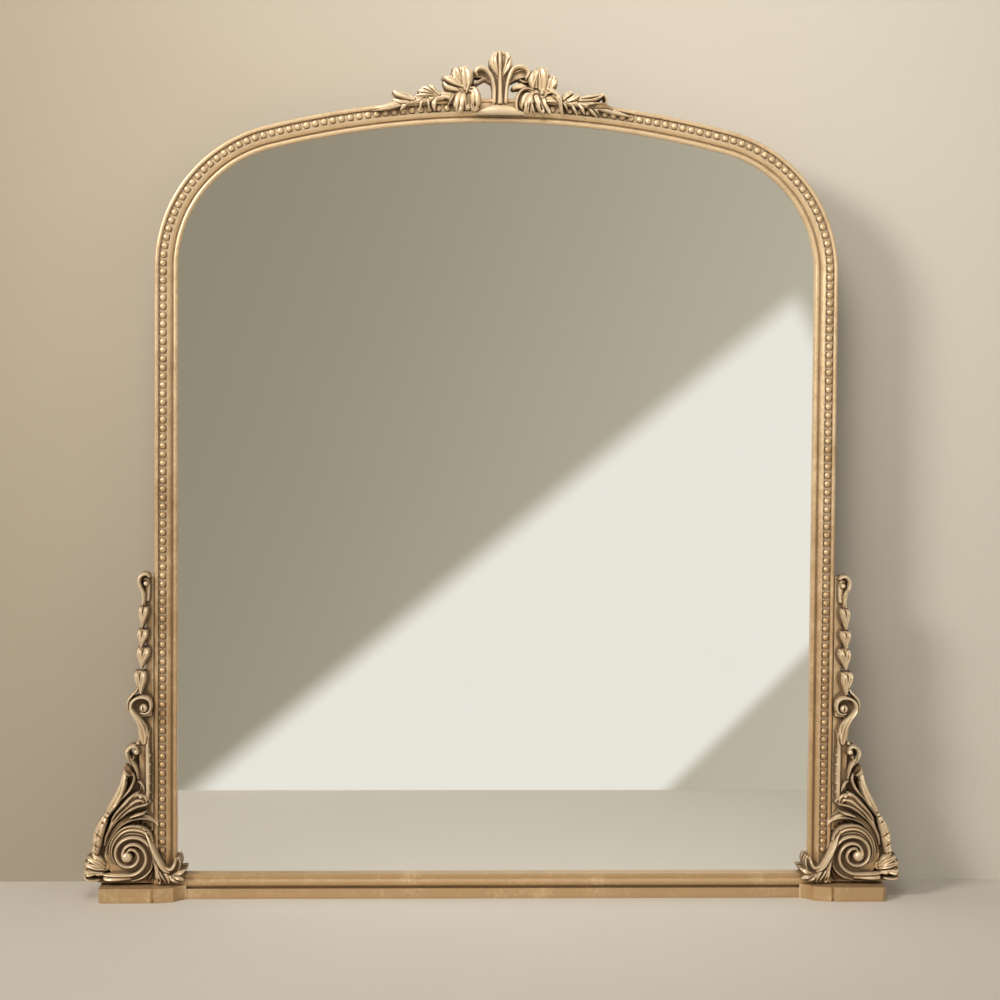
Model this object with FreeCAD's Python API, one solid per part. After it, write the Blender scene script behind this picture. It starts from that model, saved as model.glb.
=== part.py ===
"""Arched overmantel mirror: a doweled softwood frame, cast ornament and a silvered glass plate.

Frame: X runs across the mirror, Z is up and the mirror faces -Y. The origin is at the middle of the
base. Depths are counted from the back of the wooden frame (0) towards the viewer, and the distance
across a moulding is counted from its outer edge inwards.
"""

import FreeCAD
import Part
import math
import os

from FreeCAD import Vector

# Overall form
FRAME_WIDTH = 762.0
ARCH_HEIGHT = 894.0
CROWN_RADIUS = 1040.0
SHOULDER_RADIUS = 162.0
RAIL_HEIGHT = 27.0

# Section of the stiles and of the arch
MOULDING_WIDTH = 25.0
MOULDING_DEPTH = 32.0
OUTER_ROLL = 4.6
BEAD_GROOVE = 9.0
GROOVE_FLOOR = 27.0
OVOLO_TOP = 30.5
OVOLO_FOOT = 26.5
QUIRK = 1.4
QUIRK_FLOOR = 24.5
SIGHT_BEAD = 5.0
REBATE_WIDTH = 7.0
REBATE_DEPTH = 20.0

# Section of the bottom rail
RAIL_DEPTH = 34.0
RAIL_BULGE = 0.6
RAIL_FASCIA = 11.5
RAIL_TORUS_FOOT = 13.0
RAIL_TORUS_HEAD = 23.4
RAIL_QUIRK_DEPTH = 30.0

# Strips of pearl beading, which start above the corner leaf and stop beside a plain middle under the crest
PEARL_RADIUS = 3.9
PEARL_PITCH = 9.5
STRIP_THICKNESS = 1.0
STRIP_SIDE_GAP = 0.2
STRIP_START = 49.0
PLAIN_MIDDLE = 24.0

# Glass, back panel and the battens that hold them
GLASS_THICKNESS = 4.0
GLASS_EDGE_GAP = 1.5
PANEL_THICKNESS = 5.0
BATTEN_THICKNESS = 9.0
BATTEN_SIDE_GAP = 0.1
SETTING_PAD_LENGTH = 60.0
SETTING_PAD_PLACE = 220.0

# Plinth blocks, whose places are counted out or in from the stile's outer edge
PLINTH_HEIGHT = 16.0
PLINTH_DEPTH = 56.0
PLINTH_OUT = 59.0
PLINTH_NOSE_IN = 36.0
PLINTH_RETURN_IN = 23.0
PLINTH_VEE_IN = 1.0
PLINTH_VEE = 2.5
PLINTH_CORNER = 4.0
PLINTH_SLOPE = 6.0
PLINTH_COVE = 2.8

# Wing boards beside the stiles and the castings on them
WING_DEPTH = 20.0
WING_TOP = 360.0
CASTING_GAP = 0.3
FRONT_GAP = 0.4
SLAB_FRONT = 34.5
SLAB_LIP = 1.0
SLAB_JOINT_OUT = 7.0
PLATE_COVER = 1.0
BRACKET_REACH = 80.0
BRACKET_TOP = 170.0
BRACKET_JOINT = 1.0
VOLUTE_OUT = 25.5
VOLUTE_UP = 50.5
VOLUTE_EYE = 6.0
EYE_BALL = 7.0
EYE_RISE = 12.0
OUTER_RIDGE_RADIUS = 28.8
OUTER_RIDGE_TURNS = 1.6
INNER_RIDGE_RADIUS = 22.2
INNER_RIDGE_TURNS = 0.75
DROP_VOLUTE_OUT = 6.0
DROP_VOLUTE_UP = 216.5
DROP_VOLUTE_RADIUS = 9.5
DROP_VOLUTE_EYE = 4.0
DROP_VOLUTE_START = 120.0
HUSK_TOP = 334.0
HUSK_PITCH = 24.0
HUSK_COUNT = 4
HUSK_WIDTH = 7.0
HUSK_OUT = 7.2

# Tips of the corner leaf's fingers, out from the stile's outer edge and up from the base
CORNER_LEAF_TIPS = [(-35, 23), (-36, 33), (-31, 41), (-25, 46)]
CORNER_LEAF_ROOT = (-22.5, 18.0)

# Crest
CREST_RISE = 54.0
CREST_HALF_WIDTH = 124.0
CREST_PLATE_BACK = 12.0
FLOWER_OUT = 44.0
FLOWER_UP = 10.0
FLOWER_HEART = 5.0
HEART_RISE = 4.0
# Each petal's direction in degrees, its length and its half width
PETALS = [(95, 27.0, 7.5), (50, 26.0, 9.0), (4, 23.0, 8.0), (-62, 26.0, 9.5), (-120, 26.0, 9.5),
          (186, 12.0, 5.0)]

# Dowels and screws
DOWEL_RADIUS = 4.0
DOWEL_LENGTH = 40.0
DOWEL_DEPTH = 13.0
DOWEL_END_GAP = 1.0
SMALL_DOWEL_RADIUS = 2.5
SMALL_DOWEL_LENGTH = 22.0
WING_DOWELS_UP = (66.0, 112.0)
CREST_DOWEL_DEPTH = 18.0
FIT_GAP = 0.05
SCREW_RADIUS = 2.0
SCREW_HEAD_RADIUS = 4.0
SCREW_HEAD_HEIGHT = 2.4
BRACKET_SCREW_LENGTH = 30.0
BRACKET_SCREW_STEP = (9.0, 45.0)
PLINTH_SCREW_LENGTH = 45.0
PLINTH_SCREWS_IN = (17.0, 8.0)
PLINTH_SCREW_UP = 5.0

# Hangers and bumpers on the back
HANGER_DROP = 254.0
STRAP_WIDTH = 10.0
STRAP_LENGTH = 44.0
STRAP_SHEET = 1.2
RING_WIRE = 1.25
RING_GAP = 0.15
RING_HALF_WIDTH = 7.5
RING_CORNER = 2.0
RING_LEG = 4.0
RING_LEAN = 6.0
HANGER_SCREW_FIRST = 22.0
HANGER_SCREW_STEP = 13.0
HANGER_SCREW_RADIUS = 1.6
HANGER_SCREW_LENGTH = 14.0
HANGER_HEAD_RADIUS = 3.2
HANGER_HEAD_HEIGHT = 1.8
BUMPER_RADIUS = 7.0
BUMPER_THICKNESS = 6.5
BUMPER_UP = 70.0

# Sizes worked out from the ones above
BACK_Y = (PLINTH_DEPTH - BUMPER_THICKNESS) / 2
HALF_WIDTH = FRAME_WIDTH / 2
PLINTH_REACH = HALF_WIDTH + PLINTH_OUT
PLINTH_NOSE = HALF_WIDTH - PLINTH_NOSE_IN
PLINTH_RETURN = HALF_WIDTH - PLINTH_RETURN_IN
HANGER_UP = ARCH_HEIGHT - HANGER_DROP
SHOULDER_X = HALF_WIDTH - SHOULDER_RADIUS
CROWN_Z = ARCH_HEIGHT - CROWN_RADIUS
SPRING_Z = CROWN_Z + math.sqrt((CROWN_RADIUS - SHOULDER_RADIUS) ** 2 - SHOULDER_X ** 2)
CROWN_HALF_ANGLE = math.degrees(math.atan2(SHOULDER_X, SPRING_Z - CROWN_Z))
LAND = MOULDING_WIDTH - REBATE_WIDTH
LAND_MIDDLE = LAND / 2
GROOVE_MIDDLE = OUTER_ROLL + BEAD_GROOVE / 2
FRONT_PLANE = MOULDING_DEPTH + FRONT_GAP
RAIL_CLEAR = RAIL_DEPTH + RAIL_BULGE + FRONT_GAP
BATTEN_FRONT = REBATE_DEPTH - GLASS_THICKNESS - PANEL_THICKNESS
BATTEN_BACK = BATTEN_FRONT - BATTEN_THICKNESS
LOOP_RADIUS = RING_WIRE + RING_GAP
LOOP_AXIS = -(STRAP_SHEET + LOOP_RADIUS)
DEPTHWISE = Vector(0, -1, 0)


def place(x, depth, z):
    """A point from its X, its depth in front of the frame's back, and its height."""
    return Vector(x, BACK_Y - depth, z)


def line(a, b):
    return Part.LineSegment(a, b).toShape()


def arc(a, middle, b):
    return Part.Arc(a, middle, b).toShape()


def face_of(edges):
    return Part.Face(Part.Wire(edges))


def polygon_face(points):
    return Part.Face(Part.makePolygon(points + points[:1]))


def mirrored(shape):
    return shape.mirror(Vector(0, 0, 0), Vector(1, 0, 0))


def peg(start, direction, length, radius):
    return Part.makeCylinder(radius, length, start, direction)


def one_solid(shape):
    """The fused shape as a plain solid, with the seams between coplanar faces taken out."""
    shape = shape.removeSplitter()
    return shape.Solids[0] if len(shape.Solids) == 1 else Part.Compound(shape.Solids)


# Section of the frame
def moulding_section(at):
    """The closed section of a stile or arch; at(across, depth) puts its points in space."""
    groove_end = OUTER_ROLL + BEAD_GROOVE
    quirk_start = MOULDING_WIDTH - SIGHT_BEAD - QUIRK
    roll_foot = MOULDING_DEPTH - OUTER_ROLL / 2
    sight_start = MOULDING_WIDTH - SIGHT_BEAD
    sight_middle = MOULDING_WIDTH - SIGHT_BEAD / 2
    ovolo_middle = (groove_end + quirk_start) / 2
    ovolo_bulge = (OVOLO_TOP + OVOLO_FOOT) / 2 + (OVOLO_TOP - OVOLO_FOOT) / 4
    corners = [(LAND, 0), (0, 0), (0, roll_foot)]
    edges = [line(at(*corners[0]), at(*corners[1])), line(at(*corners[1]), at(*corners[2]))]
    edges.append(arc(at(0, roll_foot), at(OUTER_ROLL / 2, MOULDING_DEPTH), at(OUTER_ROLL, roll_foot)))
    groove = [(OUTER_ROLL, roll_foot), (OUTER_ROLL, GROOVE_FLOOR), (groove_end, GROOVE_FLOOR),
              (groove_end, OVOLO_TOP)]
    edges += [line(at(*a), at(*b)) for a, b in zip(groove, groove[1:])]
    edges.append(arc(at(groove_end, OVOLO_TOP), at(ovolo_middle, ovolo_bulge), at(quirk_start, OVOLO_FOOT)))
    quirk = [(quirk_start, OVOLO_FOOT), (quirk_start, QUIRK_FLOOR), (sight_start, QUIRK_FLOOR)]
    edges += [line(at(*a), at(*b)) for a, b in zip(quirk, quirk[1:])]
    edges.append(arc(at(sight_start, QUIRK_FLOOR), at(sight_middle, QUIRK_FLOOR + SIGHT_BEAD / 2),
                     at(MOULDING_WIDTH, QUIRK_FLOOR)))
    rebate = [(MOULDING_WIDTH, QUIRK_FLOOR), (MOULDING_WIDTH, REBATE_DEPTH), (LAND, REBATE_DEPTH), (LAND, 0)]
    edges += [line(at(*a), at(*b)) for a, b in zip(rebate, rebate[1:])]
    return face_of(edges)


def rectangle_section(at, across_from, across_to, depth_from, depth_to):
    corners = [(across_from, depth_from), (across_to, depth_from), (across_to, depth_to),
               (across_from, depth_to)]
    return polygon_face([at(*corner) for corner in corners])


def along_stile(section, low, high):
    """A section carried straight up the right-hand stile."""
    base = section(lambda across, depth: place(HALF_WIDTH - across, depth, low))
    return base.extrude(Vector(0, 0, high - low))


def around_shoulder(section):
    """A section turned round the right-hand shoulder, from the spring line to the crown."""
    base = section(lambda across, depth: place(HALF_WIDTH - across, depth, SPRING_Z))
    return base.revolve(place(SHOULDER_X, 0, SPRING_Z), DEPTHWISE, 90 - CROWN_HALF_ANGLE)


def crown_start(section, angle):
    """A section standing on the crown, at an angle from its middle towards the right."""
    lean = math.radians(angle)

    def at(across, depth):
        reach = CROWN_RADIUS - across
        return place(reach * math.sin(lean), depth, CROWN_Z + reach * math.cos(lean))

    return section(at)


def around_crown(section, from_angle, to_angle):
    base = crown_start(section, from_angle)
    return base.revolve(place(0, 0, CROWN_Z), DEPTHWISE, from_angle - to_angle)


def arch_face(inset, bottom, depth):
    """The arched outline, inset from the frame's outer edge and cut square at the bottom."""
    side = HALF_WIDTH - inset
    half = math.radians(CROWN_HALF_ANGLE)
    turn = math.radians(90 - CROWN_HALF_ANGLE)
    shoulder = SHOULDER_RADIUS - inset
    crown = CROWN_RADIUS - inset

    def shoulder_point(sign, angle):
        x = SHOULDER_X + shoulder * math.cos(angle)
        return place(sign * x, depth, SPRING_Z + shoulder * math.sin(angle))

    edges = [line(place(-side, depth, bottom), place(side, depth, bottom)),
             line(place(side, depth, bottom), place(side, depth, SPRING_Z)),
             arc(shoulder_point(1, 0), shoulder_point(1, turn / 2), shoulder_point(1, turn))]
    crown_ends = [place(s * crown * math.sin(half), depth, CROWN_Z + crown * math.cos(half)) for s in (1, -1)]
    edges += [arc(crown_ends[0], place(0, depth, CROWN_Z + crown), crown_ends[1]),
              arc(shoulder_point(-1, turn), shoulder_point(-1, turn / 2), shoulder_point(-1, 0)),
              line(place(-side, depth, SPRING_Z), place(-side, depth, bottom))]
    return face_of(edges)


# Dowels that join the frame, and the holes they sit in
def frame_dowels():
    """(start, direction, length) of the dowels at the right half's joints."""
    up = Vector(0, 0, 1)
    half = DOWEL_LENGTH / 2
    x = HALF_WIDTH - LAND_MIDDLE
    lean = math.radians(CROWN_HALF_ANGLE)
    reach = CROWN_RADIUS - LAND_MIDDLE
    joint = place(reach * math.sin(lean), DOWEL_DEPTH, CROWN_Z + reach * math.cos(lean))
    tangent = Vector(math.cos(lean), 0, -math.sin(lean))
    rail_hold = RAIL_HEIGHT - PLINTH_HEIGHT / 2
    return [(place(x, DOWEL_DEPTH, RAIL_HEIGHT - rail_hold), up, DOWEL_LENGTH),
            (place(x, DOWEL_DEPTH, SPRING_Z - half), up, DOWEL_LENGTH),
            (joint - tangent * half, tangent, DOWEL_LENGTH)]


def wing_dowels():
    """(start, direction, length) of the dowels between the right stile and its wing board."""
    start = HALF_WIDTH - SMALL_DOWEL_LENGTH / 2
    return [(place(start, WING_DEPTH / 2, up), Vector(1, 0, 0), SMALL_DOWEL_LENGTH) for up in WING_DOWELS_UP]


def dowel_solids(dowels, radius):
    return [peg(start, way, length, radius) for start, way, length in dowels]


def dowel_holes(dowels, radius):
    return [peg(start - way * DOWEL_END_GAP, way, length + 2 * DOWEL_END_GAP, radius + FIT_GAP)
            for start, way, length in dowels]


def screw(head, way, length, radius, head_radius, head_height):
    """A countersunk screw: its head is flush at the head point, and it points along way."""
    cone = Part.makeCone(head_radius, radius, head_height, head, way)
    return cone.fuse(peg(head + way * head_height, way, length - head_height, radius)).removeSplitter()


def bracket_screws(gap=0.0):
    """The screws that hold the right scroll bracket, driven from the wing board's back."""
    step_out, step_up = BRACKET_SCREW_STEP
    spots = [(VOLUTE_OUT, VOLUTE_UP), (VOLUTE_OUT + step_out, VOLUTE_UP + step_up)]
    return [screw(place(HALF_WIDTH + out, 0, up), DEPTHWISE, BRACKET_SCREW_LENGTH + gap, SCREW_RADIUS + gap,
                  SCREW_HEAD_RADIUS + gap, SCREW_HEAD_HEIGHT) for out, up in spots]


def plinth_screws(gap=0.0):
    """The screws through the back of the bottom rail into the right plinth block."""
    heads = [place(HALF_WIDTH - inset, 0, PLINTH_SCREW_UP) for inset in PLINTH_SCREWS_IN]
    return [screw(head, DEPTHWISE, PLINTH_SCREW_LENGTH + gap, SCREW_RADIUS + gap, SCREW_HEAD_RADIUS + gap,
                  SCREW_HEAD_HEIGHT) for head in heads]


def cut_all(shape, tools):
    return shape.cut(tools) if tools else shape


# Frame members
def right_stile():
    solid = along_stile(moulding_section, RAIL_HEIGHT, SPRING_Z)
    return cut_all(solid, dowel_holes(frame_dowels()[:2], DOWEL_RADIUS)
                   + dowel_holes(wing_dowels(), SMALL_DOWEL_RADIUS) + hanger_screw_solids(FIT_GAP))


def right_shoulder():
    return cut_all(around_shoulder(moulding_section), dowel_holes(frame_dowels()[1:], DOWEL_RADIUS))


def crown():
    solid = around_crown(moulding_section, CROWN_HALF_ANGLE, -CROWN_HALF_ANGLE)
    right = dowel_holes(frame_dowels()[2:], DOWEL_RADIUS)
    left = [mirrored(hole) for hole in right]
    return cut_all(solid, right + left + dowel_holes(crest_dowels(), SMALL_DOWEL_RADIUS))


def rail_section(x):
    """The bottom rail's section: a plain fascia, a quirk and a torus above it."""
    torus_middle = (RAIL_TORUS_FOOT + RAIL_TORUS_HEAD) / 2
    torus_front = RAIL_DEPTH + RAIL_BULGE

    def at(up, depth):
        return place(x, depth, up)

    lower = [(0, 0), (0, RAIL_DEPTH), (RAIL_FASCIA, RAIL_DEPTH), (RAIL_FASCIA, RAIL_QUIRK_DEPTH),
             (RAIL_TORUS_FOOT, RAIL_QUIRK_DEPTH)]
    edges = [line(at(*a), at(*b)) for a, b in zip(lower, lower[1:])]
    edges.append(arc(at(RAIL_TORUS_FOOT, RAIL_QUIRK_DEPTH), at(torus_middle, torus_front),
                     at(RAIL_TORUS_HEAD, RAIL_QUIRK_DEPTH)))
    upper = [(RAIL_TORUS_HEAD, RAIL_QUIRK_DEPTH), (RAIL_HEIGHT, RAIL_QUIRK_DEPTH), (RAIL_HEIGHT, 0), (0, 0)]
    edges += [line(at(*a), at(*b)) for a, b in zip(upper, upper[1:])]
    return face_of(edges)


def bottom_rail():
    """The full-width rail, with a rebate for the glass that stops at the stiles' rebates."""
    solid = rail_section(-HALF_WIDTH).extrude(Vector(FRAME_WIDTH, 0, 0))
    half = HALF_WIDTH - LAND
    floor = RAIL_HEIGHT - REBATE_WIDTH
    rebate = Part.makeBox(2 * half, REBATE_DEPTH, REBATE_WIDTH, place(-half, REBATE_DEPTH, floor))
    right = dowel_holes(frame_dowels()[:1], DOWEL_RADIUS) + plinth_screws(FIT_GAP)
    return cut_all(solid, [rebate] + right + [mirrored(hole) for hole in right])


def bead_strip(base, centres):
    """A strip of pearls: round beads standing on a thin ribbon."""
    pearls = [Part.makeSphere(PEARL_RADIUS, centre) for centre in centres]
    return base.multiFuse(pearls)


def strip_section(at):
    return rectangle_section(at, OUTER_ROLL + STRIP_SIDE_GAP, OUTER_ROLL + BEAD_GROOVE - STRIP_SIDE_GAP,
                             GROOVE_FLOOR, GROOVE_FLOOR + STRIP_THICKNESS)


def pearl_floor(solid):
    """Trims a strip flat where it lies on the floor of the bead groove."""
    box = solid.BoundBox
    block = Part.makeBox(box.XLength + 2, PEARL_RADIUS * 3, box.ZLength + 2,
                         Vector(box.XMin - 1, BACK_Y - GROOVE_FLOOR, box.ZMin - 1))
    return one_solid(solid.cut(block))


def right_bead_strip():
    low, high = STRIP_START, SPRING_Z
    count = int((high - low) / PEARL_PITCH)
    step = (high - low) / count
    x = HALF_WIDTH - GROOVE_MIDDLE
    depth = GROOVE_FLOOR + STRIP_THICKNESS
    centres = [place(x, depth, low + (k + 0.5) * step) for k in range(count)]
    return pearl_floor(bead_strip(along_stile(strip_section, low, high), centres))


def right_shoulder_beads():
    radius = SHOULDER_RADIUS - GROOVE_MIDDLE
    sweep = math.radians(90 - CROWN_HALF_ANGLE)
    count = int(radius * sweep / PEARL_PITCH)
    depth = GROOVE_FLOOR + STRIP_THICKNESS
    turns = [(k + 0.5) * sweep / count for k in range(count)]
    rounds = [(SHOULDER_X + radius * math.cos(t), SPRING_Z + radius * math.sin(t)) for t in turns]
    centres = [place(x, depth, z) for x, z in rounds]
    return pearl_floor(bead_strip(around_shoulder(strip_section), centres))


def right_crown_beads():
    """The beading on the right half of the crown, which stops at the plain middle under the crest."""
    radius = CROWN_RADIUS - GROOVE_MIDDLE
    first = math.degrees(math.asin(PLAIN_MIDDLE / radius))
    sweep = math.radians(CROWN_HALF_ANGLE - first)
    count = int(radius * sweep / PEARL_PITCH)
    depth = GROOVE_FLOOR + STRIP_THICKNESS
    turns = [math.radians(first) + (k + 0.5) * sweep / count for k in range(count)]
    centres = [place(radius * math.sin(t), depth, CROWN_Z + radius * math.cos(t)) for t in turns]
    return pearl_floor(bead_strip(around_crown(strip_section, CROWN_HALF_ANGLE, first), centres))


def crown_plain():
    """The smooth fillet that fills the bead groove under the middle of the crest."""
    radius = CROWN_RADIUS - GROOVE_MIDDLE
    half = math.degrees(math.asin((PLAIN_MIDDLE - STRIP_SIDE_GAP) / radius))
    outer, inner = OUTER_ROLL + STRIP_SIDE_GAP, OUTER_ROLL + BEAD_GROOVE - STRIP_SIDE_GAP

    def section(at):
        return rectangle_section(at, outer, inner, GROOVE_FLOOR, OVOLO_TOP)

    return around_crown(section, half, -half)


# Carved forms
def between(stations, values, at):
    """The value at a station along a path, eased between the values given at its points."""
    for k in range(len(stations) - 1):
        if at <= stations[k + 1]:
            share = (at - stations[k]) / (stations[k + 1] - stations[k])
            ease = share * share * (3 - 2 * share)
            return values[k] + (values[k + 1] - values[k]) * ease
    return values[-1]


def carved_stroke(points, widths, heights, back, sections_per_span=3):
    """A leaf, husk or scroll: domed sections of the given half widths and heights along a smooth path."""
    nodes = [place(x, back, z) for x, z in points]
    path = Part.BSplineCurve()
    path.interpolate(nodes)
    stations = [path.parameter(node) for node in nodes]
    count = sections_per_span * (len(points) - 1)
    sections = []
    for k in range(count + 1):
        at = stations[0] + (stations[-1] - stations[0]) * k / count
        middle, way = path.value(at), path.tangent(at)[0]
        side = Vector(-way.z, 0, way.x) * between(stations, widths, at)
        rise = DEPTHWISE * (between(stations, heights, at) * 4 / 3)
        dome = Part.BezierCurve()
        dome.setPoles([middle + side, middle + side + rise, middle - side + rise, middle - side])
        sections.append(Part.Wire([dome.toShape(), line(middle - side, middle + side)]))
    return Part.makeLoft(sections, True, False)


def spiral(out, up, radius, eye, turns, start, steps_per_turn=10):
    """Points of a scroll that winds inwards from a start angle, in degrees, turning clockwise."""
    count = int(turns * steps_per_turn)
    points = []
    for k in range(count + 1):
        share = k / count
        reach = radius + (eye - radius) * share
        angle = math.radians(start - 360 * turns * share)
        points.append((out + reach * math.cos(angle), up + reach * math.sin(angle)))
    return points


def taper(count, first, last):
    return [first + (last - first) * k / (count - 1) for k in range(count)]


def outward(points):
    """Path points counted from the right stile's outer edge, moved to their X."""
    return [(HALF_WIDTH + out, up) for out, up in points]


def fuse_all(first, others):
    for other in others:
        first = first.fuse(other)
    return one_solid(first)


def bracket_strokes():
    """The volute's ridges and the acanthus blades of the right bracket, as (path, half widths, heights)."""
    bottom = VOLUTE_UP - INNER_RIDGE_RADIUS
    tail = [(66.0, 27.0), (52.0, bottom - 1.0), (38.0, bottom - 1.5)]
    inner = tail + spiral(VOLUTE_OUT, VOLUTE_UP, INNER_RIDGE_RADIUS, VOLUTE_EYE, INNER_RIDGE_TURNS, -90)
    outer = spiral(VOLUTE_OUT, VOLUTE_UP, OUTER_RIDGE_RADIUS, VOLUTE_EYE, OUTER_RIDGE_TURNS, -90)
    return [
        (inner, taper(len(inner), 3.0, 2.6), [8.0] + taper(len(inner) - 1, 12.0, 18.0)),
        (outer, taper(len(outer), 3.0, 2.6), taper(len(outer), 11.0, 18.0)),
        ([(30, 22), (42, 22), (54, 23)], [4.2, 4.6, 3.6], [8, 12, 9]),
        ([(-2, 74), (2, 83), (11, 88), (23, 87), (34, 81), (42.5, 69), (46.5, 56), (46, 45), (40.5, 36.5)],
         [1.2, 3.4, 4.4, 4.6, 4.6, 4.4, 4.0, 3.4, 2.4], [6, 12, 16, 18, 18, 17, 15, 12, 9]),
        ([(7.5, 98), (20, 95), (33, 89), (44, 78), (51.5, 64), (53.5, 51)], [1.2, 4.0, 4.6, 4.6, 4.2, 3.0],
         [7, 14, 17, 17, 14, 10]),
        ([(5, 108), (15, 111), (26, 105), (36, 96), (43, 87), (50, 76), (55, 62)],
         [1.2, 6.0, 6.4, 5.2, 4.4, 3.6, 2.6], [6, 13, 15, 15, 13, 11, 9]),
        ([(14, 130), (22, 122), (31, 110.5), (39, 99.5), (44, 91)], [2.2, 4.0, 3.8, 3.2, 2.2],
         [9, 14, 14, 13, 10]),
        ([(29, 138), (35, 124), (40, 112), (45.5, 102), (51, 91), (56, 80), (59, 70), (59, 59)],
         [1.6, 3.8, 4.6, 4.8, 4.8, 4.8, 4.4, 2.4], [6, 11, 13, 13, 13, 12, 10, 6]),
        ([(15, 136), (16.5, 145), (21, 153), (26, 159), (28.5, 165.5), (26, 171.5), (20.5, 171.5), (18, 167)],
         [1.6, 2.2, 2.6, 3.0, 3.2, 3.2, 3.2, 3.0], [6, 9, 11, 12, 12, 12, 11, 9]),
        ([(22, 138), (26, 143), (31, 147)], [2.0, 3.6, 1.2], [6, 9, 5]),
        ([(53, 41), (60, 47), (68, 51)], [3.6, 5.4, 1.6], [10, 13, 7]),
        ([(50, 33), (65, 37), (BRACKET_REACH - 1.6, 37)], [4.6, 6.8, 2.2], [11, 15, 8]),
        ([(60, 28), (70, 27), (BRACKET_REACH - 2.6, 25.5)], [3.6, 5.0, 2.2], [9, 12, 7]),
        ([(7, 77), (2.5, 67), (0, 57), (-4, 47), (-8, 37)], [2.0, 3.4, 3.8, 3.8, 3.2], [10, 13, 13, 11, 9]),
        ([(-6.5, 41), (-10.5, 30), (-15, 18.5)], [2.0, 2.6, 1.6], [8, 8, 4]),
        ([(-5.5, 40), (-8, 29), (-9, 17.5)], [2.0, 2.6, 1.6], [9, 9, 4]),
        ([(-4, 40), (-3.5, 29), (-2.5, 17.5)], [2.0, 2.6, 1.6], [8, 8, 4]),
    ]


def wing_outline(inset):
    """The wing board's outline beside the right stile, as (out, up) points of its outer edge."""
    points = [(62, PLINTH_HEIGHT), (69, 34), (61, 54), (58, 72), (47, 96), (37, 117), (28, 138), (24, 156),
              (14, 176), (14, 192), (22, 208), (20, 222), (12, 238), (10, 262), (10, 330), (9, 350),
              (5, WING_TOP)]
    return [(max(out - inset, 1.5), up) for out, up in points]


def outline_face(points, depth):
    """A face between the right stile's outer edge and a smooth outer contour."""
    contour = [place(x, depth, z) for x, z in outward(points)]
    curve = Part.BSplineCurve()
    curve.interpolate(contour)
    stile = HALF_WIDTH + CASTING_GAP
    low, high = place(stile, depth, points[0][1]), place(stile, depth, points[-1][1])
    return face_of([line(low, contour[0]), curve.toShape(), line(contour[-1], high), line(high, low)])


def right_wing_board():
    contour = [place(x, 0, z) for x, z in outward(wing_outline(0))]
    curve = Part.BSplineCurve()
    curve.interpolate(contour)
    low, high = place(HALF_WIDTH, 0, PLINTH_HEIGHT), place(HALF_WIDTH, 0, WING_TOP)
    face = face_of([line(low, contour[0]), curve.toShape(), line(contour[-1], high), line(high, low)])
    solid = face.extrude(DEPTHWISE * WING_DEPTH)
    return cut_all(solid, dowel_holes(wing_dowels(), SMALL_DOWEL_RADIUS) + bracket_screws(FIT_GAP))


def right_scroll_bracket():
    joint = (SLAB_JOINT_OUT, BRACKET_TOP)
    slab_points = [(out, up) for out, up in wing_outline(-SLAB_LIP) if up < BRACKET_TOP] + [joint]
    slab = outline_face(slab_points, WING_DEPTH).extrude(DEPTHWISE * (SLAB_FRONT - WING_DEPTH))
    strokes = [carved_stroke(outward(path), widths, heights, FRONT_PLANE)
               for path, widths, heights in bracket_strokes()]
    eye = Part.makeSphere(EYE_BALL, place(HALF_WIDTH + VOLUTE_OUT, FRONT_PLANE + EYE_RISE, VOLUTE_UP))
    post = peg(place(HALF_WIDTH + VOLUTE_OUT, FRONT_PLANE, VOLUTE_UP), DEPTHWISE, EYE_RISE, VOLUTE_EYE)
    solid = fuse_all(slab, strokes + [eye, post])
    rail_top = RAIL_HEIGHT + CASTING_GAP
    rail = Part.makeBox(HALF_WIDTH + CASTING_GAP, RAIL_CLEAR, rail_top, place(0, RAIL_CLEAR, 0))
    return cut_all(solid, bracket_screws(FIT_GAP) + [rail])


def drop_curl():
    """The small scroll of the right drop: it winds inwards the other way from the big one."""
    mirrored_curl = spiral(-DROP_VOLUTE_OUT, DROP_VOLUTE_UP, DROP_VOLUTE_RADIUS, DROP_VOLUTE_EYE, 1.0,
                           DROP_VOLUTE_START)
    return [(-out, up) for out, up in mirrored_curl]


def drop_strokes():
    """Husks, scroll and crook of the right drop, as (path, half widths, heights)."""
    strokes = []
    for k in range(HUSK_COUNT):
        top = HUSK_TOP - k * HUSK_PITCH
        out = HUSK_OUT + 0.5 * k
        for side in (-1, 1):
            petal = [(out + side * HUSK_WIDTH * 0.8, top), (out + side * HUSK_WIDTH * 0.6, top - 8),
                     (out + side * 0.8, top + 2 - HUSK_PITCH)]
            strokes.append((petal, [1.0, 3.0, 1.4], [4, 8, 4]))
        rib = [(out, top + 1), (out, top - 10), (out, top - HUSK_PITCH - 1)]
        strokes.append((rib, [1.2, 2.4, 1.4], [5, 10, 6]))
    strap = [(9, 178), (9.5, 191), (14, 203), (20, 212), (21, 220)]
    curl = drop_curl()
    path = strap + curl
    widths = [5.0, 5.0, 4.8, 4.4, 3.8] + taper(len(curl), 3.2, 1.8)
    strokes.append((path, widths, taper(len(path), 6.0, 10.0)))
    strokes.append(([(12, 241), (17, 232), (23, 226), (26, 219)], [1.6, 2.0, 2.2, 1.6], [6, 8, 8, 5]))
    crook = [(7.5, 334), (9, 342), (12.5, 351), (13.5, 360), (9.5, 366), (4, 364), (2.5, 358)]
    strokes.append((crook, [1.8, 2.4, 2.6, 2.8, 2.8, 2.6, 2.2], [5, 7, 9, 9, 9, 8, 6]))
    return strokes


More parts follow.
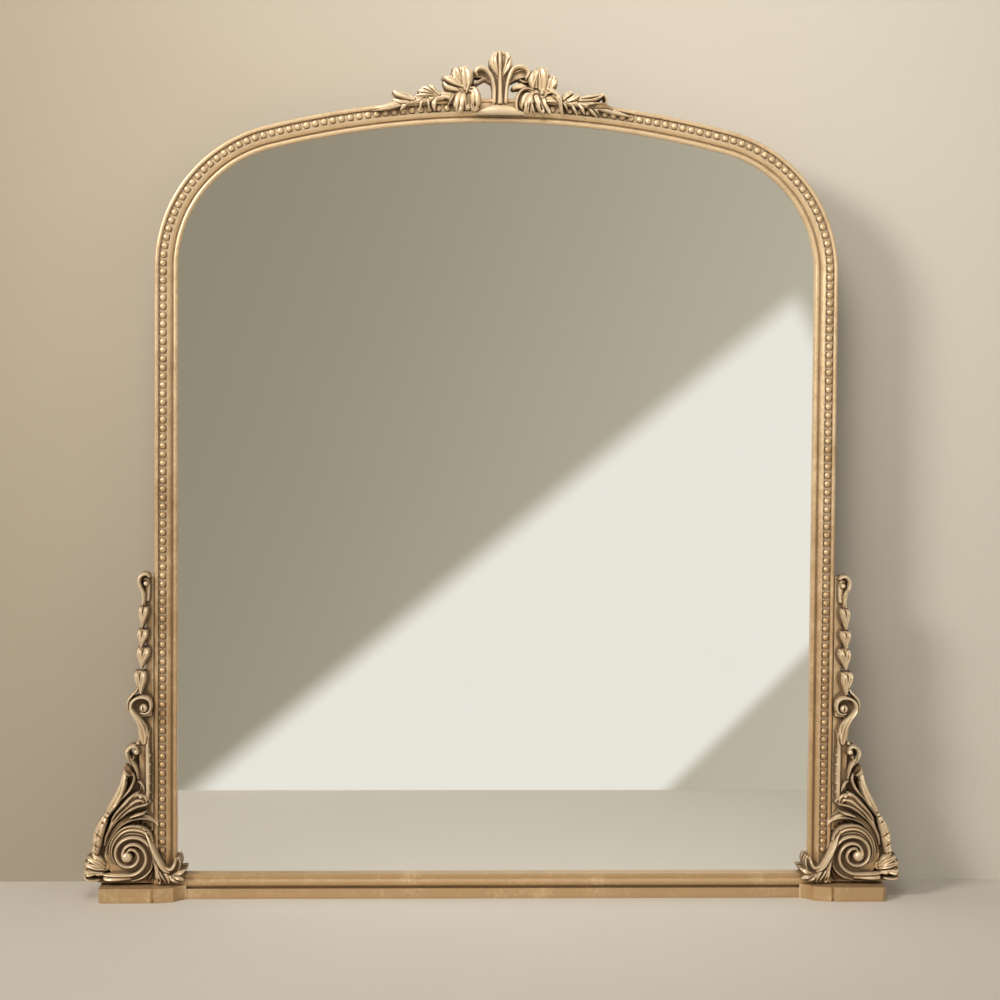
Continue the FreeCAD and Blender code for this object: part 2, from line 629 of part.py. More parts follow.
def right_husk_drop():
    foot = BRACKET_TOP + BRACKET_JOINT
    points = [(SLAB_JOINT_OUT, foot)] + [(out, up) for out, up in wing_outline(-SLAB_LIP) if up > foot]
    slab = outline_face(points, WING_DEPTH).extrude(DEPTHWISE * (FRONT_PLANE + PLATE_COVER - WING_DEPTH))
    strokes = [carved_stroke(outward(path), widths, heights, FRONT_PLANE)
               for path, widths, heights in drop_strokes()]
    return fuse_all(slab, strokes)


def right_corner_leaf():
    """The small leaf in the inner corner, on the plinth and in front of the stile's foot."""
    root = CORNER_LEAF_ROOT
    strokes = []
    for out, up in CORNER_LEAF_TIPS:
        middle = ((root[0] + out) / 2, (root[1] + up) / 2 + 1.5)
        path = outward([root, middle, (out, up)])
        strokes.append(carved_stroke(path, [2.2, 3.0, 1.2], [8, 9, 3], RAIL_CLEAR))
    floor = Part.makeBox(FRAME_WIDTH, PLINTH_DEPTH, PLINTH_HEIGHT, place(0, PLINTH_DEPTH, 0))
    return cut_all(fuse_all(strokes[0], strokes[1:]), [floor])


# Plinth blocks
def right_plinth():
    """A block with a vee in its front and a hollow return to the bottom rail."""
    front = PLINTH_DEPTH
    vee = HALF_WIDTH - PLINTH_VEE_IN
    corner = PLINTH_CORNER
    nose_front = front - PLINTH_SLOPE

    def at(x, depth):
        return place(x, depth, 0)

    cove = at((PLINTH_NOSE + PLINTH_RETURN) / 2 + PLINTH_COVE, (RAIL_DEPTH + front) / 2 - PLINTH_COVE)
    outline = [at(PLINTH_NOSE, RAIL_DEPTH), at(HALF_WIDTH, RAIL_DEPTH), at(HALF_WIDTH, 0), at(PLINTH_REACH, 0),
               at(PLINTH_REACH, front - corner), at(PLINTH_REACH - corner, front), at(vee + PLINTH_VEE, front),
               at(vee, front - PLINTH_VEE), at(vee - PLINTH_VEE, front), at(PLINTH_RETURN, nose_front)]
    edges = [line(a, b) for a, b in zip(outline, outline[1:])]
    edges.append(arc(outline[-1], cove, outline[0]))
    solid = face_of(edges).extrude(Vector(0, 0, PLINTH_HEIGHT))
    rail = rail_section(PLINTH_NOSE - PLINTH_CORNER).extrude(Vector(PLINTH_NOSE_IN + PLINTH_CORNER, 0, 0))
    return cut_all(solid, plinth_screws(FIT_GAP) + [rail])


# Crest
def crest_dowels():
    """(start, direction, length) of the three upright dowels between the crown and the crest."""
    dowels = []
    for x in (-FLOWER_OUT, 0.0, FLOWER_OUT):
        lean = math.asin(x / CROWN_RADIUS)
        way = Vector(math.sin(lean), 0, math.cos(lean))
        up = CROWN_Z + CROWN_RADIUS * math.cos(lean)
        middle = place(x, CREST_DOWEL_DEPTH, up)
        dowels.append((middle - way * (SMALL_DOWEL_LENGTH / 2), way, SMALL_DOWEL_LENGTH))
    return dowels


def above_crown(points):
    """Path points counted from the top of the arch: across and up."""
    return [(across, ARCH_HEIGHT + up) for across, up in points]


def crest_plate(points):
    """The part of a crest casting that stands on the arch, behind its carving."""
    face = polygon_face([place(x, CREST_PLATE_BACK, z) for x, z in above_crown(points)])
    plate = face.extrude(DEPTHWISE * (FRONT_PLANE + PLATE_COVER - CREST_PLATE_BACK))
    arch = peg(place(0, 0, CROWN_Z), DEPTHWISE, PLINTH_DEPTH, CROWN_RADIUS)
    return plate.cut(arch)


def crest_casting(plate_points, strokes, dowels, extras=()):
    carved = [carved_stroke(above_crown(path), widths, heights, FRONT_PLANE)
              for path, widths, heights in strokes]
    solid = fuse_all(crest_plate(plate_points), carved + list(extras))
    return cut_all(solid, dowel_holes(dowels, SMALL_DOWEL_RADIUS))


def crest_palmette():
    top = CREST_RISE - FRONT_GAP
    strokes = [([(0, -4), (0, 12), (0, 26), (0, 38), (0, 48), (0, top)], [4.4, 3.6, 4.2, 11.0, 12.0, 5.0],
                [9, 9, 10, 12, 12, 6])]
    for side in (-1, 1):
        frond = [(5.5, -3), (6.5, 11), (9.5, 22), (15, 31), (22, 34), (29, 31), (30, 24), (25, 20)]
        strokes.append(([(side * x, z) for x, z in frond], [2.0, 2.2, 2.4, 2.6, 2.8, 2.8, 2.6, 2.0],
                        [7, 9, 10, 10, 10, 10, 9, 7]))
    plate = [(-16, -6), (16, -6), (25, 20), (10, 42), (-10, 42), (-25, 20)]
    return crest_casting(plate, strokes, crest_dowels()[1:2])


def right_crest_spray():
    """The flower and leaves on the right of the crest."""
    heart = (FLOWER_OUT, FLOWER_UP)
    strokes = []
    for turn, reach, width in PETALS:
        way = (math.cos(math.radians(turn)), math.sin(math.radians(turn)))
        reaches = [reach * share for share in (0.14, 0.5, 0.8, 1)]
        path = [(heart[0] + way[0] * r, heart[1] + way[1] * r) for r in reaches]
        strokes.append((path, [2.4, width * 0.85, width, width * 0.5], [6, 8, 10, 6]))
    strokes.append(([(60, 2), (74, 3), (86, 6), (95, 7)], [3, 5.6, 5.8, 1.6], [7, 10, 9, 4]))
    strokes.append(([(72, -3), (90, -1), (108, 4), (CREST_HALF_WIDTH, 5)], [3, 5.6, 5.6, 1.4], [7, 9, 8, 3]))
    strokes.append(([(62, -6), (84, -9), (108, -11), (132, -13)], [3.2, 4.0, 3.4, 1.2], [7, 7, 6, 3]))
    plate = [(28, -6), (60, -8), (124, -14), (120, 0), (90, 6), (66, 14), (56, 26), (36, 26)]
    middle = place(FLOWER_OUT, FRONT_PLANE + HEART_RISE, ARCH_HEIGHT + FLOWER_UP)
    return crest_casting(plate, strokes, crest_dowels()[2:], [Part.makeSphere(FLOWER_HEART, middle)])


# Glass and back
def mirror_plate():
    inset = LAND + GLASS_EDGE_GAP
    bottom = RAIL_HEIGHT - REBATE_WIDTH + GLASS_EDGE_GAP
    return arch_face(inset, bottom, REBATE_DEPTH - GLASS_THICKNESS).extrude(DEPTHWISE * GLASS_THICKNESS)


def back_panel():
    inset = LAND + GLASS_EDGE_GAP
    bottom = RAIL_HEIGHT - REBATE_WIDTH + GLASS_EDGE_GAP
    return arch_face(inset, bottom, BATTEN_FRONT).extrude(DEPTHWISE * PANEL_THICKNESS)


def setting_pads():
    """Two thin pads in the bottom rebate that the glass and panel stand on."""
    low = RAIL_HEIGHT - REBATE_WIDTH
    return [Part.makeBox(SETTING_PAD_LENGTH, GLASS_THICKNESS + PANEL_THICKNESS, GLASS_EDGE_GAP,
                         place(side * SETTING_PAD_PLACE - SETTING_PAD_LENGTH / 2, REBATE_DEPTH, low))
            for side in (-1, 1)]


def batten_section(at):
    return rectangle_section(at, LAND + BATTEN_SIDE_GAP, MOULDING_WIDTH, BATTEN_BACK, BATTEN_FRONT)


def bottom_batten():
    half = HALF_WIDTH - LAND - BATTEN_SIDE_GAP
    low = RAIL_HEIGHT - REBATE_WIDTH + BATTEN_SIDE_GAP
    height = REBATE_WIDTH - BATTEN_SIDE_GAP
    return Part.makeBox(2 * half, BATTEN_THICKNESS, height, place(-half, BATTEN_FRONT, low))


def right_batten():
    return along_stile(batten_section, RAIL_HEIGHT, SPRING_Z)


# Hangers on the back of the stiles
def hanger_screw_spots():
    first = HANGER_UP - HANGER_SCREW_FIRST
    return [place(HALF_WIDTH - LAND_MIDDLE, 0, first - k * HANGER_SCREW_STEP) for k in (0, 1)]


def hanger_screw_solids(gap=0.0):
    """Pan-head screws through the right strap into the stile, or their holes when a gap is given."""
    solids = []
    for spot in hanger_screw_spots():
        seat = spot - DEPTHWISE * (2 * STRAP_SHEET)
        shank = peg(seat, DEPTHWISE, HANGER_SCREW_LENGTH + gap, HANGER_SCREW_RADIUS + gap)
        head = peg(seat, DEPTHWISE * -1, HANGER_HEAD_HEIGHT, HANGER_HEAD_RADIUS)
        solids.append(shank if gap else shank.fuse(head).removeSplitter())
    return solids


def right_hanger_strap():
    """A strip of sheet folded double round the ring's bar, with two screw holes."""
    x = HALF_WIDTH - LAND_MIDDLE - STRAP_WIDTH / 2
    axis = place(x, LOOP_AXIS, HANGER_UP)
    way = Vector(1, 0, 0)
    loop = peg(axis, way, STRAP_WIDTH, LOOP_RADIUS + STRAP_SHEET)
    plate = Part.makeBox(STRAP_WIDTH, 2 * STRAP_SHEET, STRAP_LENGTH, place(x, 0, HANGER_UP - STRAP_LENGTH))
    solid = one_solid(plate.fuse(loop))
    return cut_all(solid, [peg(axis, way, STRAP_WIDTH, LOOP_RADIUS)] + hanger_screw_solids(FIT_GAP))


def right_hanger_ring():
    """A D-shaped wire ring, hanging from the strap and leaning just clear of it."""
    x = HALF_WIDTH - LAND_MIDDLE
    w, c, leg = RING_HALF_WIDTH, RING_CORNER, RING_LEG
    s = c * (1 - math.sqrt(0.5))

    def at(across, down):
        return place(x + across, LOOP_AXIS, HANGER_UP - down)

    edges = [line(at(0, 0), at(w - c, 0)), arc(at(w - c, 0), at(w - s, s), at(w, c)),
             line(at(w, c), at(w, c + leg)), arc(at(w, c + leg), at(0, c + leg + w), at(-w, c + leg)),
             line(at(-w, c + leg), at(-w, c)), arc(at(-w, c), at(-w + s, s), at(-w + c, 0)),
             line(at(-w + c, 0), at(0, 0))]
    path = Part.Wire(edges)
    section = Part.Wire([Part.Circle(at(0, 0), Vector(1, 0, 0), RING_WIRE).toShape()])
    solid = path.makePipeShell([section], True, False)
    solid.rotate(at(0, 0), Vector(1, 0, 0), RING_LEAN)
    return solid


def right_bumper():
    return peg(place(HALF_WIDTH - LAND_MIDDLE, 0, BUMPER_UP), DEPTHWISE * -1, BUMPER_THICKNESS, BUMPER_RADIUS)


def pair(name, solid):
    return {"right_" + name: solid, "left_" + name: mirrored(solid)}


def both_sides(solids):
    return Part.Compound(solids + [mirrored(solid) for solid in solids])


def build():
    nodes = {"crown": crown(), "bottom_rail": bottom_rail()}
    nodes.update(pair("stile", right_stile()))
    nodes.update(pair("shoulder", right_shoulder()))
    nodes.update(pair("bead_strip", right_bead_strip()))
    nodes.update(pair("shoulder_beads", right_shoulder_beads()))
    nodes.update(pair("crown_beads", right_crown_beads()))
    nodes["crown_fillet"] = crown_plain()
    nodes.update(pair("plinth", right_plinth()))
    nodes.update(pair("wing_board", right_wing_board()))
    nodes.update(pair("scroll_bracket", right_scroll_bracket()))
    nodes.update(pair("husk_drop", right_husk_drop()))
    nodes.update(pair("corner_leaf", right_corner_leaf()))
    nodes["crest_palmette"] = crest_palmette()
    nodes.update(pair("crest_spray", right_crest_spray()))
    nodes["mirror_plate"] = mirror_plate()
    nodes["back_panel"] = back_panel()
    nodes["setting_pads"] = Part.Compound(setting_pads())
    nodes["bottom_batten"] = bottom_batten()
    nodes.update(pair("batten", right_batten()))
    nodes.update(pair("shoulder_batten", around_shoulder(batten_section)))
    nodes["crown_batten"] = around_crown(batten_section, CROWN_HALF_ANGLE, -CROWN_HALF_ANGLE)
    nodes["frame_dowels"] = both_sides(dowel_solids(frame_dowels(), DOWEL_RADIUS))
    nodes["wing_dowels"] = both_sides(dowel_solids(wing_dowels(), SMALL_DOWEL_RADIUS))
    nodes["crest_dowels"] = Part.Compound(dowel_solids(crest_dowels(), SMALL_DOWEL_RADIUS))
    nodes["bracket_screws"] = both_sides(bracket_screws())
    nodes["plinth_screws"] = both_sides(plinth_screws())
    nodes["hanger_screws"] = both_sides(hanger_screw_solids())
    nodes.update(pair("hanger_strap", right_hanger_strap()))
    nodes.update(pair("hanger_ring", right_hanger_ring()))
    nodes["wall_bumpers"] = both_sides([right_bumper()])
    return nodes


os.makedirs("parts", exist_ok=True)
for name, shape in build().items():
    shape.exportStep(os.path.join("parts", name + ".step"))
    print(name, "solids", len(shape.Solids), "valid", shape.isValid(), "volume", round(shape.Volume))
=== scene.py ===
"""Looks of the arched overmantel mirror: carved castings, gilding, silvered glass, bare back, room."""

import math

import bpy
import numpy as np
from mathutils import Matrix, Vector


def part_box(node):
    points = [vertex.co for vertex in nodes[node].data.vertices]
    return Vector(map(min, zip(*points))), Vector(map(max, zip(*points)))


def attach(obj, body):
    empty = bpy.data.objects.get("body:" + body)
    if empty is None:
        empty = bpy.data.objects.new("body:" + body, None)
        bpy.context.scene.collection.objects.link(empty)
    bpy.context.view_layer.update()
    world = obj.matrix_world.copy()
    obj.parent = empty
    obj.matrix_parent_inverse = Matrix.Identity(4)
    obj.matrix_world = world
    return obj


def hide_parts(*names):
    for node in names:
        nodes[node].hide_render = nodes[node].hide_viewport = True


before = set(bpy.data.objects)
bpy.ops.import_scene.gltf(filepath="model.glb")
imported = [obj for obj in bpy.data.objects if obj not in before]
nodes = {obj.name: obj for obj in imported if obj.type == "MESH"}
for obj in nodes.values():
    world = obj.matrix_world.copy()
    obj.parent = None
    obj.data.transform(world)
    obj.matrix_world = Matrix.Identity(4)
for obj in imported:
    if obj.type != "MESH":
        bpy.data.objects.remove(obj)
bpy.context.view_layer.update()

MM = 0.001


def side_of(node, end, axis):
    """One side of a CAD node's box, in millimetres: end 0 is the low side and 1 the high one."""
    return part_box(node)[end][axis] / MM


# Places read from the frame, in millimetres. Depths run from the frame's back towards the viewer.
STILE_EDGE = side_of("right_stile", 1, 0)
FRAME_BACK = side_of("right_stile", 1, 1)
FACE_CLEAR = 0.4
FACE_DEPTH = FRAME_BACK - side_of("right_stile", 0, 1) + FACE_CLEAR
WING_FRONT = FRAME_BACK - side_of("right_wing_board", 0, 1)
PLINTH_TOP = side_of("right_plinth", 1, 2)
ARCH_TOP = side_of("crown", 1, 2)
CREST_BACK = FRAME_BACK - side_of("crest_palmette", 1, 1)
CROWN_RADIUS = 1040.0
CROWN_CLEAR = 0.3
RAIL_CLEAR = 2.8
STILE_CLEAR = 0.4
GLASS_CLEAR = 3.0
LEAF_CLEAR = 0.6

# Volute of the scroll bracket, in millimetres from the stile's outer edge and up from the base
VOLUTE = (25.5, 50.5)
VOLUTE_RADIUS = 29.0
CASTING_SPLIT = 170.5
CASTING_GAP = 0.3

# Grid and finish of the carving: lengths in millimetres, the angle in degrees, the tone from 0 to 1
CARVING_STEP = 0.45
NARROWEST_STROKE = 0.4
SOFTENING = 0.3
LEAST_THICKNESS = 0.5
SHARP_ANGLE = 62.0
BACK_TONE = 0.25

# How far the tones look round a point, closely and broadly, and the depth there that counts as full
FINE_REACH, FINE_DEPTH = 0.9, 0.7
BROAD_REACH, BROAD_DEPTH = 3.0, 3.2


# Carving
def smooth_rows(rows, per_span=10):
    """Rows of numbers joined by a smooth curve that passes through each of them."""
    rows = np.array(rows, float)
    ends = np.vstack([2 * rows[0] - rows[1], rows, 2 * rows[-1] - rows[-2]])
    share = np.linspace(0, 1, per_span, endpoint=False)[:, None]
    spans = []
    for a, b, c, d in zip(ends, ends[1:], ends[2:], ends[3:]):
        bend = 2 * a - 5 * b + 4 * c - d
        twist = 3 * b - 3 * c + d - a
        spans.append(b + 0.5 * ((c - a) * share + bend * share ** 2 + twist * share ** 3))
    path = np.vstack(spans + [rows[-1:]])
    path[:, 2] = np.maximum(path[:, 2], NARROWEST_STROKE)
    return path


def ease(share):
    share = np.clip(share, 0, 1)
    return share * share * (3 - 2 * share)


def blurred(field, radius):
    """A field blurred over a radius in millimetres."""
    reach = max(1, int(round(2.5 * radius / CARVING_STEP)))
    steps = np.arange(-reach, reach + 1)
    weights = np.exp(-0.5 * (steps * CARVING_STEP / radius) ** 2)
    weights /= weights.sum()
    for axis in (0, 1):
        room = [(reach, reach) if k == axis else (0, 0) for k in (0, 1)]
        wide = np.pad(field, room, mode="edge")
        length = field.shape[axis]
        field = sum(w * np.take(wide, np.arange(k, k + length), axis) for k, w in enumerate(weights))
    return field


# Cross-sections of the carver's strokes: u runs from -1 to 1 across a stroke, and 1 is its full height
def roll(u):
    """A rounded cord."""
    return np.sqrt(np.clip(1 - u * u, 0, 1))


def cup(u):
    """A hollow petal with a raised lip on both sides."""
    lip = np.exp(-((np.abs(u) - 0.78) / 0.2) ** 2)
    return 0.45 + 0.2 * u * u + 0.38 * lip


def lip_left(u):
    """A hollow leaf whose lip stands up on the left of its path."""
    lip = np.exp(-((u - 0.72) / 0.2) ** 2)
    return 0.42 + 0.22 * u + 0.4 * lip


def lip_right(u):
    return lip_left(-u)


def plump(u):
    """A full, soft leaf with a faint hollow beside its crest."""
    return 0.35 + 0.65 * np.sqrt(np.clip(1 - u * u, 0, 1)) - 0.06 * np.cos(u * 8.0)


def fluted(u):
    """A broad leaf with two soft flutes, higher towards its left edge."""
    return 0.74 + 0.14 * u - 0.1 * u * u + 0.1 * np.cos(u * 7.5 + 0.6)


def flat(u):
    """A tongue with a level top."""
    return 0.9 + 0.1 * np.cos(u * 2.4)


class Relief:
    """A casting as heights in front of the frame's face over a fine grid, worked stroke by stroke.

    A stroke follows rows of four numbers: across, up, half width and height, all in millimetres.
    """

    def __init__(self, across, up, ground):
        rows = np.arange(across[0], across[1], CARVING_STEP)
        columns = np.arange(up[0], up[1], CARVING_STEP)
        self.across, self.up = np.meshgrid(rows, columns, indexing="ij")
        self.height = np.full(self.across.shape, float(ground))
        self.inside = np.full(self.across.shape, -9.0)

    def beside(self, rows):
        """The grid points near a path, their offset to its left, and its half width and height there."""
        path = smooth_rows(rows)
        reach = path[:, 2].max() + 1.5
        low, high = path[:, :2].min(0) - reach, path[:, :2].max(0) + reach
        i = np.searchsorted(self.across[:, 0], (low[0], high[0]))
        j = np.searchsorted(self.up[0], (low[1], high[1]))
        here = np.s_[i[0]:i[1], j[0]:j[1]]
        x, z = self.across[here], self.up[here]
        nearest = np.full(x.shape, np.inf)
        offset, width, rise = (np.zeros(x.shape) for _ in range(3))
        for a, b in zip(path, path[1:]):
            run = b[:2] - a[:2]
            share = np.clip(((x - a[0]) * run[0] + (z - a[1]) * run[1]) / (run @ run), 0, 1)
            dx, dz = x - a[0] - share * run[0], z - a[1] - share * run[1]
            apart = np.hypot(dx, dz)
            near = apart < nearest
            nearest[near] = apart[near]
            offset[near] = (np.sign(run[0] * dz - run[1] * dx) * apart)[near]
            width[near] = (a[2] + (b[2] - a[2]) * share)[near]
            rise[near] = (a[3] + (b[3] - a[3]) * share)[near]
        return here, offset, width, rise

    def stroke(self, section, rows, edge):
        """A stroke's grid points, its share of each point, and its height there."""
        here, offset, width, rise = self.beside(rows)
        room = width - np.abs(offset)
        self.inside[here] = np.maximum(self.inside[here], room)
        return here, ease(room / edge), rise * section(offset / width)

    def lay(self, section, *rows, edge=0.8):
        """Lays a stroke over what is there, with its own edges."""
        here, share, new = self.stroke(section, rows, edge)
        self.height[here] = self.height[here] * (1 - share) + new * share

    def heap(self, section, *rows, edge=0.8):
        """Adds a stroke only where it stands higher than what is there."""
        here, share, new = self.stroke(section, rows, edge)
        old = self.height[here]
        self.height[here] = np.where(new > old, old * (1 - share) + new * share, old)

    def cut(self, *rows):
        """Cuts a groove: each row's last number is its depth."""
        here, offset, width, depth = self.beside(rows)
        self.height[here] -= depth * ease(1 - np.abs(offset) / width)

    def pierce(self, *rows):
        """Cuts right through along a path."""
        here, offset, width, _ = self.beside(rows)
        self.inside[here] = np.minimum(self.inside[here], np.abs(offset) - width)

    def dome(self, across, up, radius, rise):
        """A round knob."""
        apart = np.hypot(self.across - across, self.up - up)
        new = rise - radius + np.sqrt(np.clip(radius * radius - apart * apart, 0, None))
        self.height = np.where(apart < radius, np.maximum(self.height, new), self.height)
        self.inside = np.maximum(self.inside, radius - apart)

    def mound(self, across, up, radius, rise, fall):
        """A round floor whose height falls evenly from its middle."""
        apart = np.hypot(self.across - across, self.up - up)
        self.height = np.where(apart < radius, rise - apart * fall, self.height)
        self.inside = np.maximum(self.inside, radius - apart)

    def leaflets(self, leaflets, root, rise, tip):
        """Short leaves, each with its root, middle, tip and half width; root and tip end the rows."""
        for start, middle, end, width in leaflets:
            self.lay(plump, (*start, *root), (*middle, width, rise), (*end, *tip))

    def creases(self, creases, start, middle, end):
        """Straight grooves, each from its top to its foot; start, middle and end give width and depth."""
        for top, foot in creases:
            between = (top[0] + foot[0]) / 2, (top[1] + foot[1]) / 2
            self.cut((*top, *start), (*between, *middle), (*foot, *end))

    def ground(self, outline, rise):
        """A plain plate inside a closed outline, under the strokes laid later."""
        x, z = self.across, self.up
        apart = np.full(x.shape, np.inf)
        crossings = np.zeros(x.shape, int)
        for a, b in zip(outline, np.roll(outline, -1, axis=0)):
            run = b - a
            share = np.clip(((x - a[0]) * run[0] + (z - a[1]) * run[1]) / max(run @ run, 1e-9), 0, 1)
            apart = np.minimum(apart, np.hypot(x - a[0] - share * run[0], z - a[1] - share * run[1]))
            if a[1] != b[1]:
                spans = (a[1] > z) != (b[1] > z)
                crossings += spans & (x < a[0] + (z - a[1]) * run[0] / run[1])
        room = np.where(crossings % 2 == 1, apart, -apart)
        self.height = np.where(room > 0, rise, self.height)
        self.inside = np.maximum(self.inside, room)


def sampled(field, i, j):
    """A field's value between its grid points."""
    i, j = np.clip(i, 0, field.shape[0] - 1.001), np.clip(j, 0, field.shape[1] - 1.001)
    i0, j0 = i.astype(int), j.astype(int)
    a, b = i - i0, j - j0
    low = field[i0, j0] * (1 - a) + field[i0 + 1, j0] * a
    high = field[i0, j0 + 1] * (1 - a) + field[i0 + 1, j0 + 1] * a
    return low * (1 - b) + high * b


def carving_tones(height):
    """How sunk and how proud each point of a carving lies beside the points round it, from 0 to 1."""
    fine, broad = blurred(height, FINE_REACH) - height, blurred(height, BROAD_REACH) - height
    sunk = fine / FINE_DEPTH + broad / BROAD_DEPTH
    return np.clip(sunk, 0, 1), np.clip(-sunk, 0, 1)


def grown(mask):
    """A mask and the points beside it, also cornerwise."""
    wide = np.pad(mask, 1)
    size = mask.shape
    out = np.zeros(size, bool)
    for i in range(3):
        for j in range(3):
            out |= wide[i:i + size[0], j:j + size[1]]
    return out


def casting_mesh(name, relief, back_depth, x_of, z_of, mirror, keep=None):
    """A closed mesh of a relief: its carved front, a wall round its outline, and its back."""
    inside = relief.inside if keep is None else np.minimum(relief.inside, keep)
    solid = inside > 0.3 * CARVING_STEP
    used = grown(solid)
    rim = used & ~solid
    slope_i, slope_j = np.gradient(inside, CARVING_STEP)
    steep = np.maximum(slope_i ** 2 + slope_j ** 2, 0.2)
    limit = 1.1 * CARVING_STEP
    move_i = np.where(rim, np.clip(-inside * slope_i / steep, -limit, limit), 0)
    move_j = np.where(rim, np.clip(-inside * slope_j / steep, -limit, limit), 0)
    grid_i, grid_j = np.indices(inside.shape)
    height = blurred(relief.height, SOFTENING)
    sunk, proud = carving_tones(relief.height)
    height = sampled(height, grid_i + move_i / CARVING_STEP, grid_j + move_j / CARVING_STEP)
    across, up = relief.across + move_i, relief.up + move_j
    number = np.full(inside.shape, -1)
    number[used] = np.arange(used.sum())
    count = int(used.sum())
    a, u = across[used], up[used]
    back = np.minimum(back_depth(a, u), FACE_DEPTH + height[used] - LEAST_THICKNESS)
    sign = -1 if mirror else 1
    front_points = np.column_stack([sign * x_of(a), FRAME_BACK - FACE_DEPTH - height[used], z_of(u)])
    back_points = np.column_stack([sign * x_of(a), FRAME_BACK - back, z_of(u)])
    cells = solid[:-1, :-1] | solid[1:, :-1] | solid[1:, 1:] | solid[:-1, 1:]
    quads = np.stack([number[:-1, :-1], number[1:, :-1], number[1:, 1:], number[:-1, 1:]], -1)[cells]
    tails = quads.ravel()
    heads = np.roll(quads, -1, axis=1).ravel()
    outer = ~np.isin(heads * count + tails, tails * count + heads)
    tails, heads = tails[outer], heads[outer]
    walls = np.column_stack([heads, tails, tails + count, heads + count])
    faces = np.vstack([quads, quads[:, ::-1] + count, walls])
    if mirror:
        faces = faces[:, ::-1]
    mesh = bpy.data.meshes.new(name)
    mesh.from_pydata(np.vstack([front_points, back_points]) * MM, [], faces)
    # Tones kept on each point: how sunk it is, for umber glazing and painted shade, and how proud, for wear
    # and painted highlight; the back gets a little of the first.
    for label, values, back_tone in (("recess", sunk, BACK_TONE), ("rub_and_highlight", proud, 0.0)):
        layer = mesh.attributes.new(label, "FLOAT", "POINT")
        tone = np.concatenate([values[used], np.full(count, back_tone)])
        layer.data.foreach_set("value", tone.astype(np.float32))
    mesh.shade_smooth()
    mesh.set_sharp_from_angle(angle=math.radians(SHARP_ANGLE))
    return mesh


def casting(node, material, *mesh_parts, **mesh_words):
    """A carved piece that stands for a CAD node and rides on the frame."""
    name = node + "_carving"
    piece = bpy.data.objects.new(name, casting_mesh(name, *mesh_parts, **mesh_words))
    bpy.context.scene.collection.objects.link(piece)
    piece.data.materials.append(material)
    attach(piece, "frame")
    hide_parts(node)
    return piece


# Side castings: scroll bracket below and husk drop above. The left ones mirror the right ones.
SIDES = ((False, "right_"), (True, "left_"))


def volute_row(turn, radius, width, rise):
    """A row of a stroke that winds round the volute's eye; turn is in degrees."""
    angle = math.radians(turn)
    return VOLUTE[0] + radius * math.cos(angle), VOLUTE[1] + radius * math.sin(angle), width, rise


def carve_volute(carving):
    """Two ridges wind into the eye side by side, over a hollow floor that rises towards it."""
    carving.mound(*VOLUTE, VOLUTE_RADIUS, 9.0, 0.16)
    carving.lay(roll, (0.4, 46, 1.2, 8), (2.5, 35, 1.6, 9.5), (8, 28.2, 1.8, 10), (15.4, 23.9, 1.8, 9.5),
                (24, 21.4, 1.4, 7))
    carving.lay(plump, (26, 24.6, 2.2, 8), (36, 25, 4.0, 11.5), (46, 24.8, 4.6, 12.5),
                (52.6, 24.4, 3.8, 10.5))
    outer = [volute_row(152 - turn, 24.0 * math.exp(-0.0028 * turn), 2.7 - turn / 800, 14.5 + turn / 190)
             for turn in range(0, 391, 15)]
    inner = [volute_row(-80 - turn, 22.4 - 0.04 * turn - 0.0000675 * turn * turn, 2.6, 14 + turn / 110)
             for turn in range(0, 252, 14)]
    carving.lay(roll, *outer, (25.6, 57.8, 2.2, 16.5), (28.4, 54.6, 2.0, 16))
    carving.lay(roll, (58, 29.4, 1.6, 9), (50, 28.4, 2.4, 12), (40, 28.2, 2.6, 13.5), *inner,
                (33.4, 51.6, 2.8, 16.5), (31.6, 48.6, 3.0, 16.5))
    carving.dome(28.9, 49.4, 6.2, 17.2)
    carving.cut((25.6, 55.4, 1.0, 4), (22.6, 53.2, 1.3, 6), (21, 49.4, 1.3, 5), (22, 46.2, 1.0, 2))


